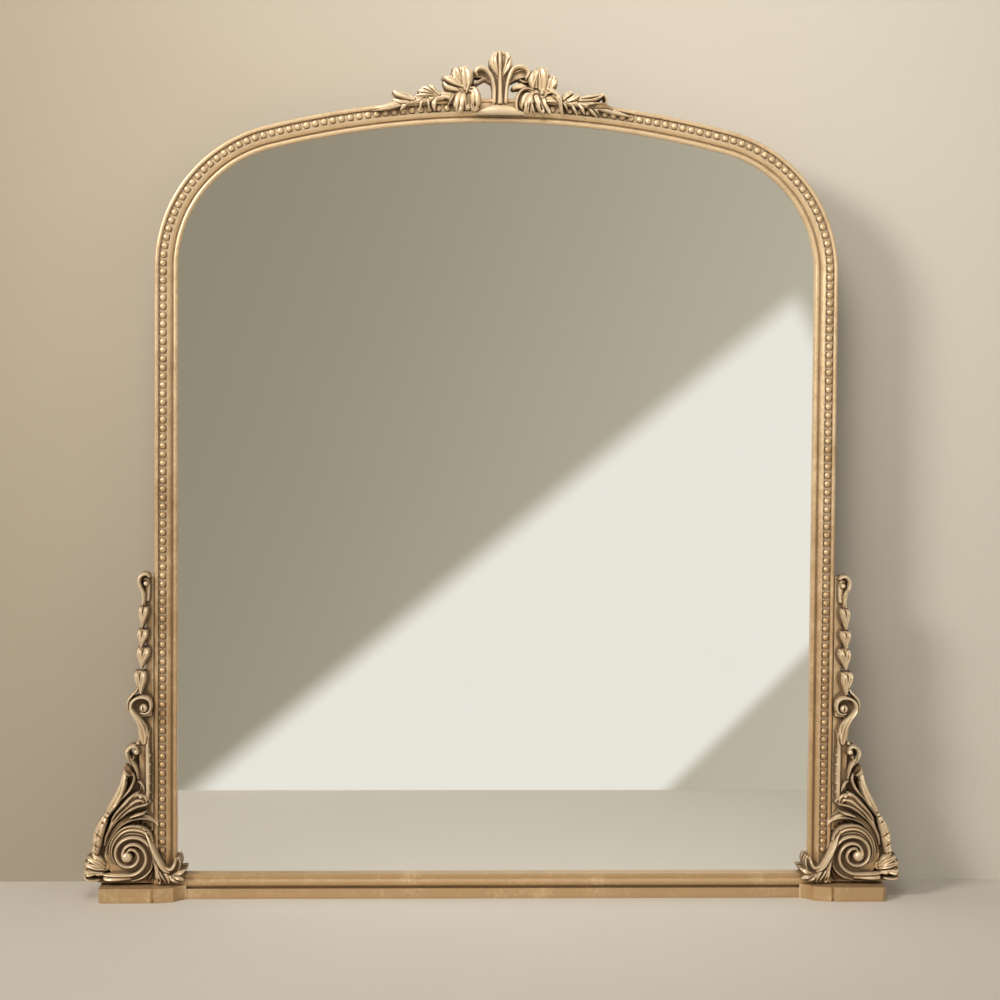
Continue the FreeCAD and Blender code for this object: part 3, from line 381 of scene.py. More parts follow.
def carve_acanthus(carving):
    """The three broad leaves that fold round the volute, from the inner one outwards."""
    carving.lay(fluted, (1.8, 66.4, 2.2, 11), (6.4, 73.0, 4.4, 13), (12.8, 77.8, 5.6, 14),
                (21.8, 79.6, 5.9, 14.5), (29.4, 78.6, 5.5, 14.5), (36.2, 74.6, 4.9, 14.2),
                (41.6, 68.4, 4.3, 13.5), (44.9, 61.4, 3.8, 12.8), (46.2, 54, 3.3, 12),
                (44.8, 46.6, 2.8, 10.5), (41.4, 40.8, 2.0, 8.5))
    for across, up in ((2.6, 73.4), (6.6, 78.2), (11.2, 82.4), (16.6, 85.2)):
        carving.cut((across - 1.4, up + 1.6, 1.5, 6), (across + 0.4, up - 0.4, 1.1, 4),
                    (across + 1.8, up - 2.2, 0.7, 1))
    carving.lay(lip_right, (-4.4, 82, 1.4, 3), (-2.4, 87, 2.4, 5), (2.6, 91.8, 3.2, 9.5),
                (10.6, 95.2, 4.2, 15.5), (19, 94.4, 3.9, 16), (27.6, 91.2, 3.5, 16),
                (35.6, 86.2, 3.2, 15.5), (42.4, 79, 2.9, 14.8), (48.0, 70.2, 2.5, 13.6),
                (51.6, 61.2, 2.1, 12.2), (52.8, 52, 1.5, 10))
    carving.cut((-2.6, 88.4, 1.4, 3), (2.8, 94.2, 2.0, 6), (8.6, 96.6, 1.8, 5), (15, 96.4, 0.9, 1))
    carving.heap(flat, (6.8, 100.6, 0.8, 12), (11.4, 98, 1.7, 15), (18, 96.2, 1.9, 16.2),
                 (25, 93.6, 1.3, 16))
    carving.lay(fluted, (9.6, 107.4, 3.4, 9), (12.8, 112.4, 7.0, 12.5), (20.4, 111.4, 8.4, 14.5),
                (28.8, 104.8, 7.2, 15), (36.8, 97, 5.3, 14.8), (43, 89.4, 3.7, 14), (47.8, 81, 2.7, 13),
                (51.8, 71.6, 2.1, 11.5), (54, 61.5, 1.5, 9.5))
    carving.heap(roll, (15.6, 121.4, 1.2, 12), (20.9, 119.2, 1.7, 15), (25.8, 114.7, 2.0, 16.5),
                 (31.4, 108.5, 2.1, 17), (37.4, 102.6, 2.0, 16.5), (42.2, 96.6, 1.7, 15.5),
                 (46, 90.4, 1.3, 14.5))
    carving.heap(roll, (5.4, 108.6, 1.1, 11), (10, 107, 1.5, 13.5), (16, 105.8, 1.7, 15),
                 (22.4, 103.4, 1.7, 15.5), (29, 99.2, 1.6, 15.5), (36, 92.6, 1.3, 14.5))
    carving.dome(13.4, 117, 2.2, 15.5)
    carving.heap(roll, (9.6, 122, 1.0, 10), (11, 127.4, 1.6, 12.5), (13.8, 132, 1.6, 12.5),
                 (17.4, 133.6, 1.0, 11))


def carve_outer_blade(carving):
    """The plump outer blade, the lobed border below it, and the dark cut inside them."""
    carving.cut((28.6, 127, 1.2, 4), (32.4, 119.6, 1.5, 7), (38.4, 111.4, 1.7, 9), (44, 103.6, 1.8, 9),
                (46.6, 96, 1.8, 9), (47.6, 89, 1.8, 9), (51.2, 80, 1.9, 9), (55.4, 71, 1.8, 8),
                (58, 61, 1.6, 6))
    carving.lay(plump, (51.6, 96.4, 3.0, 12.5), (54.8, 89, 4.9, 14.8), (58, 81.4, 5.8, 15),
                (60.8, 73, 6.3, 14.5), (62.2, 65, 5.9, 13.2), (63, 57.4, 4.6, 11.2), (64, 52, 3.2, 9))
    creases = (((52, 84.4), (55.2, 88), (60, 91)), ((56.4, 69.6), (60.6, 74), (66, 77.4)),
               ((58.8, 58.2), (63.4, 62.2), (68.4, 64.6)))
    for left, middle, right in creases:
        carving.heap(plump, (left[0] + 1.6, left[1] - 5.4, 2.0, 12),
                     (middle[0] + 1.6, middle[1] - 5.4, 3.8, 15), (right[0] - 1.0, right[1] - 6.4, 2.2, 12),
                     edge=2.6)
    for left, middle, right in creases:
        carving.cut((left[0] - 0.6, left[1] - 0.6, 1.5, 2.4), (*middle, 1.5, 2.8),
                    (right[0] - 1.0, right[1] - 0.6, 1.7, 3.4), (right[0] + 2, right[1] + 1, 2.0, 4))
        carving.pierce((right[0] + 0.6, right[1] + 0.6, 0.4, 0), (right[0] + 3.4, right[1] + 2.2, 1.4, 0))
    carving.lay(plump, (30.6, 147, 2.4, 10), (31.8, 138.4, 3.9, 13.5), (33.8, 128.6, 5.0, 15.5),
                (37.2, 119.6, 5.5, 16.5), (42.2, 110.4, 5.4, 17), (47.4, 102, 4.5, 16.5),
                (50.6, 96.4, 3.5, 15))
    carving.heap(roll, (36.4, 113.6, 1.0, 15), (40.4, 108, 1.5, 18), (45, 102.6, 1.5, 18),
                 (48.6, 97.4, 1.2, 16.5))
    carving.cut((47.6, 97.6, 0.9, 3), (50.4, 99.6, 1.2, 5), (53.6, 100.2, 0.9, 2.5))
    carving.cut((29.4, 135, 1.5, 6), (28.4, 131.4, 1.7, 7), (30, 126, 1.2, 5), (32.6, 121.4, 0.8, 2))
    carving.heap(roll, (22.4, 142.6, 1.2, 12), (20.9, 138.4, 1.7, 14), (22.0, 132, 1.9, 14.5),
                 (25.6, 124.8, 2.0, 15.5), (30, 119.2, 1.8, 15.5), (35.2, 113.6, 1.3, 14.5))
    carving.lay(cup, (24.6, 141, 2.2, 9.5), (27.6, 145.4, 3.6, 12.5), (30.8, 148.4, 2.8, 11))
    carving.heap(roll, (26.4, 139.4, 1.2, 12), (29.6, 142.4, 1.8, 14.5), (33, 144.4, 1.3, 12.5))


def carve_terminal_leaf(carving):
    """The leaf that spreads from the volute's tail over the end of the plinth."""
    carving.lay(flat, (54, 37, 6.4, 7), (60.6, 38.2, 11.4, 10), (65.6, 36.6, 13.0, 10.5),
                (69.8, 34, 8.2, 9), edge=2.4)
    for root, middle, tip, rise in (((54, 41), (60, 46.2), (67, 51), 12.5),
                                    ((54, 37.8), (62, 42.8), (72, 47), 14),
                                    ((54.6, 35), (63.6, 38), (75, 40.6), 14.5)):
        carving.heap(plump, (*root, 2.4, rise - 3), (*middle, 4.8, rise), (*tip, 2.6, rise - 3), edge=2.4)
    carving.heap(plump, (57, 30.4, 3.2, 11.5), (66, 31.2, 4.6, 14.5), (72, 30.6, 5.4, 16.5),
                 (74.8, 28.2, 3.2, 12), edge=1.4)
    carving.lay(roll, (60, 23.2, 2.0, 9), (66, 22.4, 2.4, 11), (72, 22.8, 2.5, 11.5), (75.6, 25.4, 1.8, 10))
    carving.cut((63.4, 29.6, 1.2, 3), (66, 27.2, 1.6, 5), (69.4, 25.6, 1.2, 3))
    carving.cut((70.4, 33.8, 0.8, 2), (74, 35.2, 1.0, 4), (77.4, 35, 0.8, 2))
    carving.cut((73.4, 31.6, 0.7, 1), (74.2, 28.6, 0.8, 2.5))


def carve_fingers(carving):
    """The fingers of the narrow leaf, which spread on the plinth."""
    foot = PLINTH_TOP + 2.2
    carving.heap(roll, (0.6, 32, 0.8, 7), (3, 26, 1.1, 8.5), (6.2, foot + 2, 0.9, 6))
    carving.lay(plump, (-9.6, 37.6, 2.6, 12), (-14.2, 29.6, 2.9, 12.5), (-17.2, 22.6, 2.6, 10),
                (-16.8, foot, 1.7, 6.5))
    carving.lay(roll, (-7.6, 33, 1.7, 13.5), (-10.2, 27.4, 2.0, 13.5), (-13.2, 21.8, 1.8, 10.5),
                (-14.4, foot + 1, 1.2, 7))


def carve_stem(carving):
    """The stem of the fingered leaf over the volute's inner side, and the spoon-ended finger behind it."""
    carving.lay(plump, (4.2, 67, 1.6, 11.5), (0.8, 58, 2.5, 14), (-1.4, 50, 2.9, 14.5),
                (-3.2, 42, 3.3, 14.5), (-4.7, 34, 3.7, 13.5), (-5.7, 27, 4.2, 12.5),
                (-6.4, 22.4, 3.9, 10.5), (-7.2, 19, 2.4, 8))
    carving.cut((-5.8, 25, 1.4, 0.5), (-6.4, 22.2, 2.2, 4), (-7, 19.6, 1.2, 0.5))
    carve_fingers(carving)
    carving.lay(plump, (8.6, 76.6, 1.2, 11), (4.4, 68, 2.0, 15.5), (1.2, 60.2, 2.7, 17.5),
                (-2.2, 52.8, 3.1, 18), (-5.4, 46, 3.3, 17.5), (-8.8, 39.8, 3.5, 16),
                (-12.6, 34.6, 3.3, 13.5), (-17.4, 31.6, 2.0, 10))


def carve_crook(carving):
    """The hooked shoot above the leaves."""
    carving.lay(roll, (16.8, 136, 1.4, 9.5), (17.8, 144, 1.9, 12.5), (20.2, 150.8, 2.5, 14.5),
                (24.4, 156.4, 3.0, 15.5), (28.2, 162, 3.3, 15.5), (28.8, 167, 3.2, 15),
                (25.6, 171, 2.9, 14.5), (21, 172.4, 2.5, 13.5), (17.6, 170.4, 2.0, 12))
    carving.dome(18.4, 166.6, 3.2, 15)
    carving.cut((19.4, 147.6, 0.6, 2), (22.8, 154, 0.9, 4), (26, 159.6, 1.0, 4.5), (26.4, 165, 0.8, 3))
    carving.heap(roll, (23.4, 157, 1.2, 11), (21.4, 160.4, 1.5, 12.5), (22.6, 163.4, 1.2, 11.5))


def carve_strap(carving):
    """The plain strap beside the stile, under a lancet whose edge is scalloped."""
    carving.lay(flat, (9.8, 112, 6.0, 2.5), (10, 140, 6.4, 3), (10.6, 164, 6.4, 3.5), (11.4, 182, 6.2, 5))
    carving.lay(plump, (6.8, 108, 1.2, 5), (6.4, 122, 2.6, 8), (6.2, 140, 2.9, 8.5), (6.5, 160, 2.8, 8.5),
                (6.7, 173, 2.1, 8.5), (5.6, 183, 1.3, 7.5), (4.2, 190.5, 0.7, 5.5))
    for k in range(6):
        carving.heap(roll, (5.6, 113 + 10.4 * k, 1.1, 7.5), (3.6, 109.6 + 10.4 * k, 1.3, 8.5))


def carve_hook(carving):
    """The hooked top of the husk drop."""
    carving.lay(roll, (11.6, 330, 2.6, 9), (11, 338, 2.5, 11.5), (12.4, 345.4, 2.6, 13.5),
                (15, 352, 2.8, 14.5), (15.8, 358.4, 2.8, 14.5), (12.8, 363.2, 2.7, 14),
                (8, 364.2, 2.3, 12.5), (5, 361.4, 1.7, 11))
    carving.heap(roll, (9, 340.6, 1.1, 12.5), (11.4, 346.8, 1.4, 15), (13.6, 352, 1.1, 15))
    carving.heap(flat, (7, 336, 2.6, 4), (7, 350, 3.4, 4), (9, 358, 3.6, 5))
    carving.dome(8.2, 354, 2.7, 12.5)


def carve_husks(carving):
    """Four husks, one in the mouth of the next."""
    for mouth, middle, half, foot in ((329.5, 11, 6.6, (13, 305)), (304, 12, 7.2, (13.6, 283)),
                                      (284, 11.2, 8.6, (13.6, 260)), (257.6, 14.6, 8.2, (14, 231))):
        waist = (middle * 0.6 + foot[0] * 0.4, mouth * 0.55 + foot[1] * 0.45)
        carving.lay(plump, (middle, mouth - half * 0.9, half * 0.8, 10), (*waist, half * 0.78, 12),
                    (*foot, 1.6, 8.5))
        for lean in (-1, 1):
            carving.heap(plump, (foot[0] + lean * 0.5, foot[1] + 4, 1.4, 10),
                         (waist[0] + lean * half * 0.3, waist[1], half * 0.58, 13),
                         (middle + lean * half * 0.44, mouth - half * 0.75, half * 0.54, 14),
                         (middle + lean * half * 0.5, mouth - half * 0.5, half * 0.42, 12.5), edge=1.8)
        carving.cut((middle, mouth + 1, 1.2, 4), (middle, mouth - half * 0.8, 0.8, 2), (*waist, 0.5, 0.8))


def carve_small_scroll(carving):
    """The small scroll under the husks, on its own plate."""
    carving.ground(np.array([(2.4, 206), (14, 205), (22, 212), (24, 220), (14, 227), (3, 226)]), 4.0)
    carving.lay(plump, (10.8, 177, 4.4, 7), (11.4, 186, 6.4, 8.5), (13, 194, 5.6, 11), (17, 202.6, 4.6, 13),
                (22, 209.6, 3.8, 14.5), (25, 216, 2.9, 14), (23.4, 222.6, 2.5, 13.5),
                (18, 226.6, 2.4, 13.5), (10.4, 227.6, 2.4, 13.5), (4.6, 224.8, 2.3, 14),
                (2.6, 219, 2.0, 13.5), (3.8, 212.6, 1.9, 13), (8, 209.4, 1.8, 12.5), (13.4, 209.8, 1.5, 11))
    carving.dome(10.6, 215.6, 4.6, 14.5)
    carving.cut((11, 219.4, 0.8, 1.5), (10.8, 215.4, 1.1, 4), (10.4, 211.6, 0.8, 1.5))
    carving.cut((8.6, 186, 0.6, 1), (9.4, 194, 0.9, 3), (12.6, 201, 0.8, 2))
    carving.lay(roll, (16.8, 238, 1.5, 9.5), (19.4, 233.4, 2.0, 12.5), (23.4, 229.6, 2.2, 14.5),
                (27, 224.4, 2.2, 14.5), (28.2, 218.2, 2.0, 13), (26.6, 211, 1.3, 10))
    carving.dome(17.2, 176, 2.0, 9)


def from_stile(across):
    return STILE_EDGE + across


def as_drawn(place):
    return place


def side_castings(material):
    """The scroll bracket and the husk drop of both sides, carved in one go and parted where they meet."""
    carving = Relief((-24, 84), (PLINTH_TOP + 0.2, 376), -6)
    plate = smooth_rows([(60, 17, 1), (72, 24, 1), (72, 40, 1), (65, 54, 1), (62, 74, 1), (52, 97, 1),
                         (40, 118, 1), (32, 138, 1), (23, 158, 1), (13, 178, 1), (13, 192, 1), (21, 208, 1),
                         (19, 222, 1), (11, 238, 1), (9, 262, 1), (9, 330, 1), (8, 350, 1),
                         (4, 364, 1)])[:, :2]
    plate = np.vstack([plate, [(0.5, 364), (0.5, 17)]])
    carving.ground(plate, -3.0)
    carve_strap(carving)
    carve_volute(carving)
    carve_acanthus(carving)
    carve_stem(carving)
    carve_outer_blade(carving)
    carve_terminal_leaf(carving)
    carve_crook(carving)
    carve_hook(carving)
    carve_husks(carving)
    carve_small_scroll(carving)

    def back_depth(across, up):
        return np.where(across < STILE_CLEAR, FACE_DEPTH, WING_FRONT)

    for mirror, side in SIDES:
        casting(side + "scroll_bracket", material, carving, back_depth, from_stile, as_drawn, mirror,
                keep=CASTING_SPLIT - carving.up)
        casting(side + "husk_drop", material, carving, back_depth, from_stile, as_drawn, mirror,
                keep=carving.up - CASTING_SPLIT - CASTING_GAP)


# Corner leaves
def corner_leaves(material):
    """The small leaf in each inner corner: a cupped leaf up the stile, and three lobes over the rail."""
    carving = Relief((-40, -12), (PLINTH_TOP + 0.4, 51), RAIL_CLEAR)
    carving.lay(flat, (-17, 27, 4.0, 6), (-24, 28.6, 6.4, 6.5), (-29.6, 30.4, 4.4, 6))
    carving.lay(flat, (-20.6, 32, 3.6, 5.5), (-24.6, 36.4, 4.2, 5.5), (-27, 41.4, 2.8, 5.5))
    carving.lay(cup, (-21.4, 30, 2.4, 9), (-25.4, 36, 4.2, 12), (-27.4, 42, 3.4, 12), (-27.8, 47, 1.2, 9))
    carving.leaflets((((-18, 27), (-22.4, 23.6), (-26, 21), 3.2),
                      ((-22, 27), (-28, 25.4), (-33, 22.8), 3.4),
                      ((-23.6, 29), (-29.6, 31), (-34.8, 33.4), 3.4)), (2.2, 9), 13.5, (1.7, 10))
    carving.lay(roll, (-13.4, 37, 1.4, 10), (-17.4, 34.8, 2.1, 13), (-21.2, 36, 2.4, 14),
                (-23.8, 40.6, 2.3, 13), (-25, 46.4, 1.3, 9.5))
    glass = FRAME_BACK - side_of("mirror_plate", 0, 1)
    rail_top = side_of("bottom_rail", 1, 2)
    sight_edge = side_of("right_stile", 0, 0) - STILE_EDGE

    def back_depth(across, up):
        over_glass = (across < sight_edge - LEAF_CLEAR) & (up > rail_top + LEAF_CLEAR)
        return np.where(over_glass, glass + GLASS_CLEAR, FACE_DEPTH + RAIL_CLEAR - LEAF_CLEAR)

    for mirror, side in SIDES:
        casting(side + "corner_leaf", material, carving, back_depth, from_stile, as_drawn, mirror)


# Crest, in millimetres across from the middle and up from the top of the arch
def crest_back(across, up):
    reach = np.hypot(across, up + CROWN_RADIUS)
    return np.where(reach > CROWN_RADIUS + CROWN_CLEAR, CREST_BACK, FACE_DEPTH)


def from_arch(up):
    return ARCH_TOP + up


def carve_palmette():
    """The middle of the crest: a three-lobed head on a ribbed stem, between two curling fronds."""
    carving = Relief((-36, 36), (-22, 56), -8)
    for side in (-1, 1):
        carving.lay(cup, (side * 9, 19, 3.0, 3), (side * 17, 25, 5.0, 5), (side * 25, 27, 5.4, 6),
                    (side * 31, 25, 3.0, 5))
    carving.lay(fluted, (15, 12, 2.6, 3), (22, 14, 3.6, 4), (28, 13, 2.4, 4))
    carving.lay(flat, (0, -6, 9, 3), (0, 4, 8.4, 3), (0, 14, 8.8, 4), (0, 24, 10.5, 5), (0, 31, 9.0, 6))
    carving.lay(flat, (0, 23, 5.0, 7), (0.4, 31, 9.6, 9), (0.6, 38.5, 12.6, 10), (0.4, 44, 10.6, 9),
                (0.2, 46.6, 6.6, 7))
    carving.heap(plump, (-2, 25, 2.8, 9), (-6.2, 34, 5.0, 12.5), (-7.4, 42, 5.4, 13), (-5.6, 48.4, 3.2, 10))
    carving.heap(plump, (2, 25, 2.8, 9), (7.0, 34, 5.4, 12), (8.6, 41.6, 5.4, 12.5), (7.4, 48, 3.4, 10))
    carving.cut((12, 46.5, 0.8, 2), (9.4, 42, 1.0, 3), (6.4, 35, 0.8, 1))
    carving.lay(roll, (0, -5, 3.4, 9), (-0.2, 12, 2.8, 11), (-0.5, 28, 2.6, 13), (-0.8, 41, 2.9, 15.5),
                (-0.8, 50.8, 2.2, 11))
    right_frond = [(6.2, -4), (7, 10), (9.2, 21.5), (13.2, 31), (19.4, 34.6), (27, 33.8), (31.4, 28.4),
                   (28.6, 21.6)]
    left_frond = [(6.4, -4), (6.8, 11), (9.6, 22.6), (15, 30), (20.6, 32.6), (25.4, 31.4), (27.2, 28),
                  (25.6, 25)]
    widths = (2.6, 2.6, 2.8, 3.1, 3.3, 3.2, 2.8, 1.8)
    rises = (8, 9.5, 11, 12, 12, 11.5, 11, 9)
    for side, frond in ((1, right_frond), (-1, left_frond)):
        carving.lay(roll, *[(side * a, u, w, r) for (a, u), w, r in zip(frond, widths, rises)])
    carving.heap(roll, (-15.6, 21.6, 1.2, 8), (-21, 19.6, 1.7, 10), (-28.6, 15.4, 1.6, 9))
    carving.heap(roll, (22, 20.4, 1.3, 8), (26, 18.2, 1.6, 9.5), (30.5, 18.6, 1.2, 8))
    carving.lay(roll, (-26, -16.4, 2.4, 3.5), (-14, -13.6, 5.0, 6), (0, -12.4, 6.2, 7.5),
                (14, -13.6, 5.0, 6), (26, -16.4, 2.4, 3.5))
    return carving


def carve_left_stem(carving):
    """The long stem of the left spray, with its leaflets and the pointed leaf near its end."""
    carving.lay(plump, (-44, 0, 6.0, 6), (-62, 2, 5.0, 7.5), (-80, -1, 5.2, 8.5), (-98, -3.8, 4.8, 8.5),
                (-112, -6.4, 4.2, 8), (-128, -10.6, 2.6, 6.5), (-141, -13.4, 1.2, 3.5))
    carving.heap(roll, (-110, -9.6, 1.4, 8.5), (-123, -12.8, 1.8, 9.5), (-135, -14.6, 1.4, 7),
                 (-143, -15.2, 0.8, 4))
    carving.leaflets((((-70, 0), (-73.4, -7), (-72.4, -14), 3.6),
                      ((-80, -2), (-79.4, -7), (-78.4, -12), 2.0),
                      ((-84, -2), (-87.6, -7), (-88.6, -13.6), 2.2),
                      ((-100, -4), (-106, -8.8), (-110, -14.4), 3.2)), (2.0, 7), 9.5, (1.4, 6.5))
    carving.lay(plump, (-102, -6, 2.6, 8), (-111, -5.2, 3.3, 10), (-118, -3.2, 1.8, 8))
    carving.lay(plump, (-96, -2.4, 3.0, 8.5), (-105, 0.6, 4.4, 11), (-113.4, 3, 3.5, 11),
                (-118.6, 6.2, 1.4, 9))
    carving.cut((-107, -3.6, 1.1, 3), (-112, -2, 1.6, 6.5), (-117, 0.8, 1.0, 3))
    carving.cut((-99, -0.4, 0.6, 1.5), (-106, 2.6, 0.9, 3.5), (-113, 4.4, 0.6, 2))


def carve_left_fan(carving):
    """The fan of four ribs between the pointed leaf and the flower."""
    carving.lay(flat, (-68, 3, 3.0, 7.5), (-77, 5.4, 5.8, 9), (-85, 5.6, 5.6, 9))
    for tip, width in (((-92.4, 1.6), 2.4), ((-90.2, 6.8), 2.7), ((-85, 11), 2.9), ((-78.2, 12.8), 3.1)):
        middle = (tip[0] * 0.6 - 27.2, tip[1] * 0.6 + 1.6)
        carving.lay(plump, (-67, 2.8, 1.8, 8), (*middle, width, 11.5), (*tip, 1.7, 9.5))


def carve_left_flower(carving):
    """The open flower: hanging petals below, broad ones above, and a curled one beside the palmette."""
    carving.lay(flat, (-36, 6, 7.0, 7), (-36, -1, 9.0, 8), (-36, -7, 8.0, 7), edge=3.0)
    carving.lay(plump, (-42, 6, 7.0, 8), (-44, -2, 9.6, 11), (-45, -8, 9.0, 10.5), (-45, -11.4, 6.0, 9),
                edge=2.0)
    carving.heap(roll, (-51, 3.4, 1.3, 10), (-54.4, -2.6, 1.6, 12.5), (-58, -9, 1.2, 9.5))
    carving.creases((((-50.6, 0.4), (-53.6, -11)), ((-45, -4), (-47, -16)), ((-39.4, -3), (-39.6, -16))),
                    (0.8, 0.5), (1.2, 3), (1.4, 5))
    carving.lay(plump, (-46, 8, 2.6, 10.5), (-53.6, 9.6, 3.4, 13), (-59.6, 12, 2.8, 13),
                (-63.2, 16.6, 1.4, 10.5))
    carving.lay(flat, (-41, 10, 7.0, 8), (-43, 18, 13.0, 11), (-43.4, 24, 12.4, 11.5), (-43, 28, 8.0, 11),
                edge=3.0)
    carving.heap(plump, (-43, 12.6, 5.6, 10.5), (-50.4, 17.4, 7.4, 13), (-57, 20, 6.0, 13),
                 (-61.6, 21.8, 3.4, 11.5), edge=3.0)
    carving.heap(plump, (-43, 14, 6.6, 11), (-46.8, 22, 9.2, 13), (-49, 28, 6.8, 13),
                 (-49.8, 30.4, 4.6, 12), edge=3.0)
    carving.heap(plump, (-38, 11, 5.6, 12), (-37.4, 19, 8.6, 15), (-38, 26, 9.2, 15.5),
                 (-39.2, 29.8, 6.6, 14), edge=2.4)
    carving.cut((-42.6, 20, 0.8, 1), (-45.4, 28, 1.0, 2.5), (-46.6, 35, 1.6, 5))
    carving.cut((-52, 20, 0.8, 1), (-55, 26, 1.6, 4))
    carving.cut((-63, 18.8, 1.0, 3), (-57, 14.6, 1.5, 6), (-51.6, 12.2, 1.4, 6), (-45.6, 11, 1.2, 5),
                (-41, 9.6, 0.9, 3))
    carving.lay(plump, (-34, 9, 4.4, 11.5), (-29, 6.4, 6.6, 14.5), (-27.6, 0, 7.0, 15.5),
                (-27.4, -6.4, 6.2, 14.5), (-27.8, -10, 4.4, 12.5), edge=1.4)
    carving.cut((-28.6, -4.6, 1.2, 1), (-28.2, -9.4, 2.2, 4.5), (-27.8, -12, 1.0, 1))
    carving.heap(roll, (-32.2, -8, 1.1, 12), (-31.2, -12.4, 1.6, 14), (-27.8, -14.4, 1.7, 14),
                 (-23.8, -12.2, 1.3, 13))
    carving.heap(roll, (-33.8, 17.4, 1.3, 14), (-36, 11.6, 1.9, 15.5), (-37.4, 5.4, 1.4, 13))
    carving.cut((-33.4, 8.4, 1.0, 3), (-31, 9, 1.0, 3))


def carve_left_spray():
    """The left half of the crest, with a small opening under its flower."""
    carving = Relief((-148, -14), (-30, 42), -8)
    carve_left_stem(carving)
    carve_left_fan(carving)
    carve_left_flower(carving)
    carving.pierce((-65.2, -5.2, 1.5, 0), (-59.8, -2.8, 1.9, 0))
    return carving


def carve_right_stem(carving):
    """The long stem of the right spray, with its leaflets, its end leaf and two small leaves."""
    carving.lay(plump, (46, -2, 6.0, 6), (64, -1, 5.6, 8), (80, -3.6, 5.4, 9), (96, -5.4, 5.0, 9),
                (112, -8.6, 4.6, 8.5), (128, -14, 3.2, 6.5), (146, -18.4, 1.2, 3))
    carving.leaflets((((69, -3), (72.6, -8.6), (75.6, -14), 1.9),
                      ((75.4, -3), (79.6, -7.4), (83.6, -12), 2.0),
                      ((80, -9), (83.4, -13), (86, -17.6), 1.7), ((87, -6), (91, -11), (94, -16), 2.6),
                      ((98, -10), (103, -14.6), (108, -18.6), 1.9),
                      ((103, -9), (106.6, -13), (110, -17), 1.9)), (1.4, 8.5), 10.5, (1.1, 7))
    carving.lay(lip_left, (99, -8.6, 3.0, 9), (109, -7.4, 4.0, 11.5), (118, -8.2, 3.2, 10.5),
                (125, -11.4, 1.4, 7))
    carving.lay(plump, (87, -1, 3.4, 9), (97, 0.2, 4.6, 11.5), (107, 1.8, 4.2, 12), (114.2, 4.2, 2.0, 9.5))
    carving.cut((90, -0.6, 0.7, 1.5), (100, 0.4, 1.1, 4), (109, 2.4, 0.7, 2))
    carving.heap(roll, (111, 6.4, 1.0, 9), (115.6, 4, 1.7, 12), (117.8, -1, 1.7, 12), (116.4, -5, 1.0, 9))
    carving.lay(plump, (69, -1, 3.0, 9), (74, 3, 4.4, 12), (78.4, 6.0, 3.4, 12), edge=1.2)
    carving.lay(plump, (75, -2.4, 3.0, 9.5), (81.6, 0.6, 4.4, 12.5), (86.2, 2.8, 3.2, 11.5), edge=1.2)
    carving.cut((73, 0, 0.8, 3), (78.4, 3.4, 1.1, 4.5), (81.4, 6.4, 1.2, 5))


def carve_right_ring(carving):
    """The leaf that curls round the opening beside the flower."""
    carving.lay(plump, (48, -1, 3.0, 8.5), (50.6, -8, 3.2, 9.5), (55, -15, 2.4, 8))
    carving.lay(plump, (47, 2, 3.2, 9.5), (50.8, 7, 3.9, 12), (57, 8.2, 3.9, 12.5), (62.6, 4.8, 3.7, 12.5),
                (66, -2, 3.2, 12.5), (67.6, -9, 2.6, 12), (69.8, -16, 1.6, 9), edge=1.2)
    carving.heap(roll, (58, 3, 1.0, 12), (62.8, -0.4, 1.5, 14.5), (65.8, -6.6, 1.6, 15),
                 (67.8, -13, 1.4, 13), (70, -19, 1.0, 9.5))


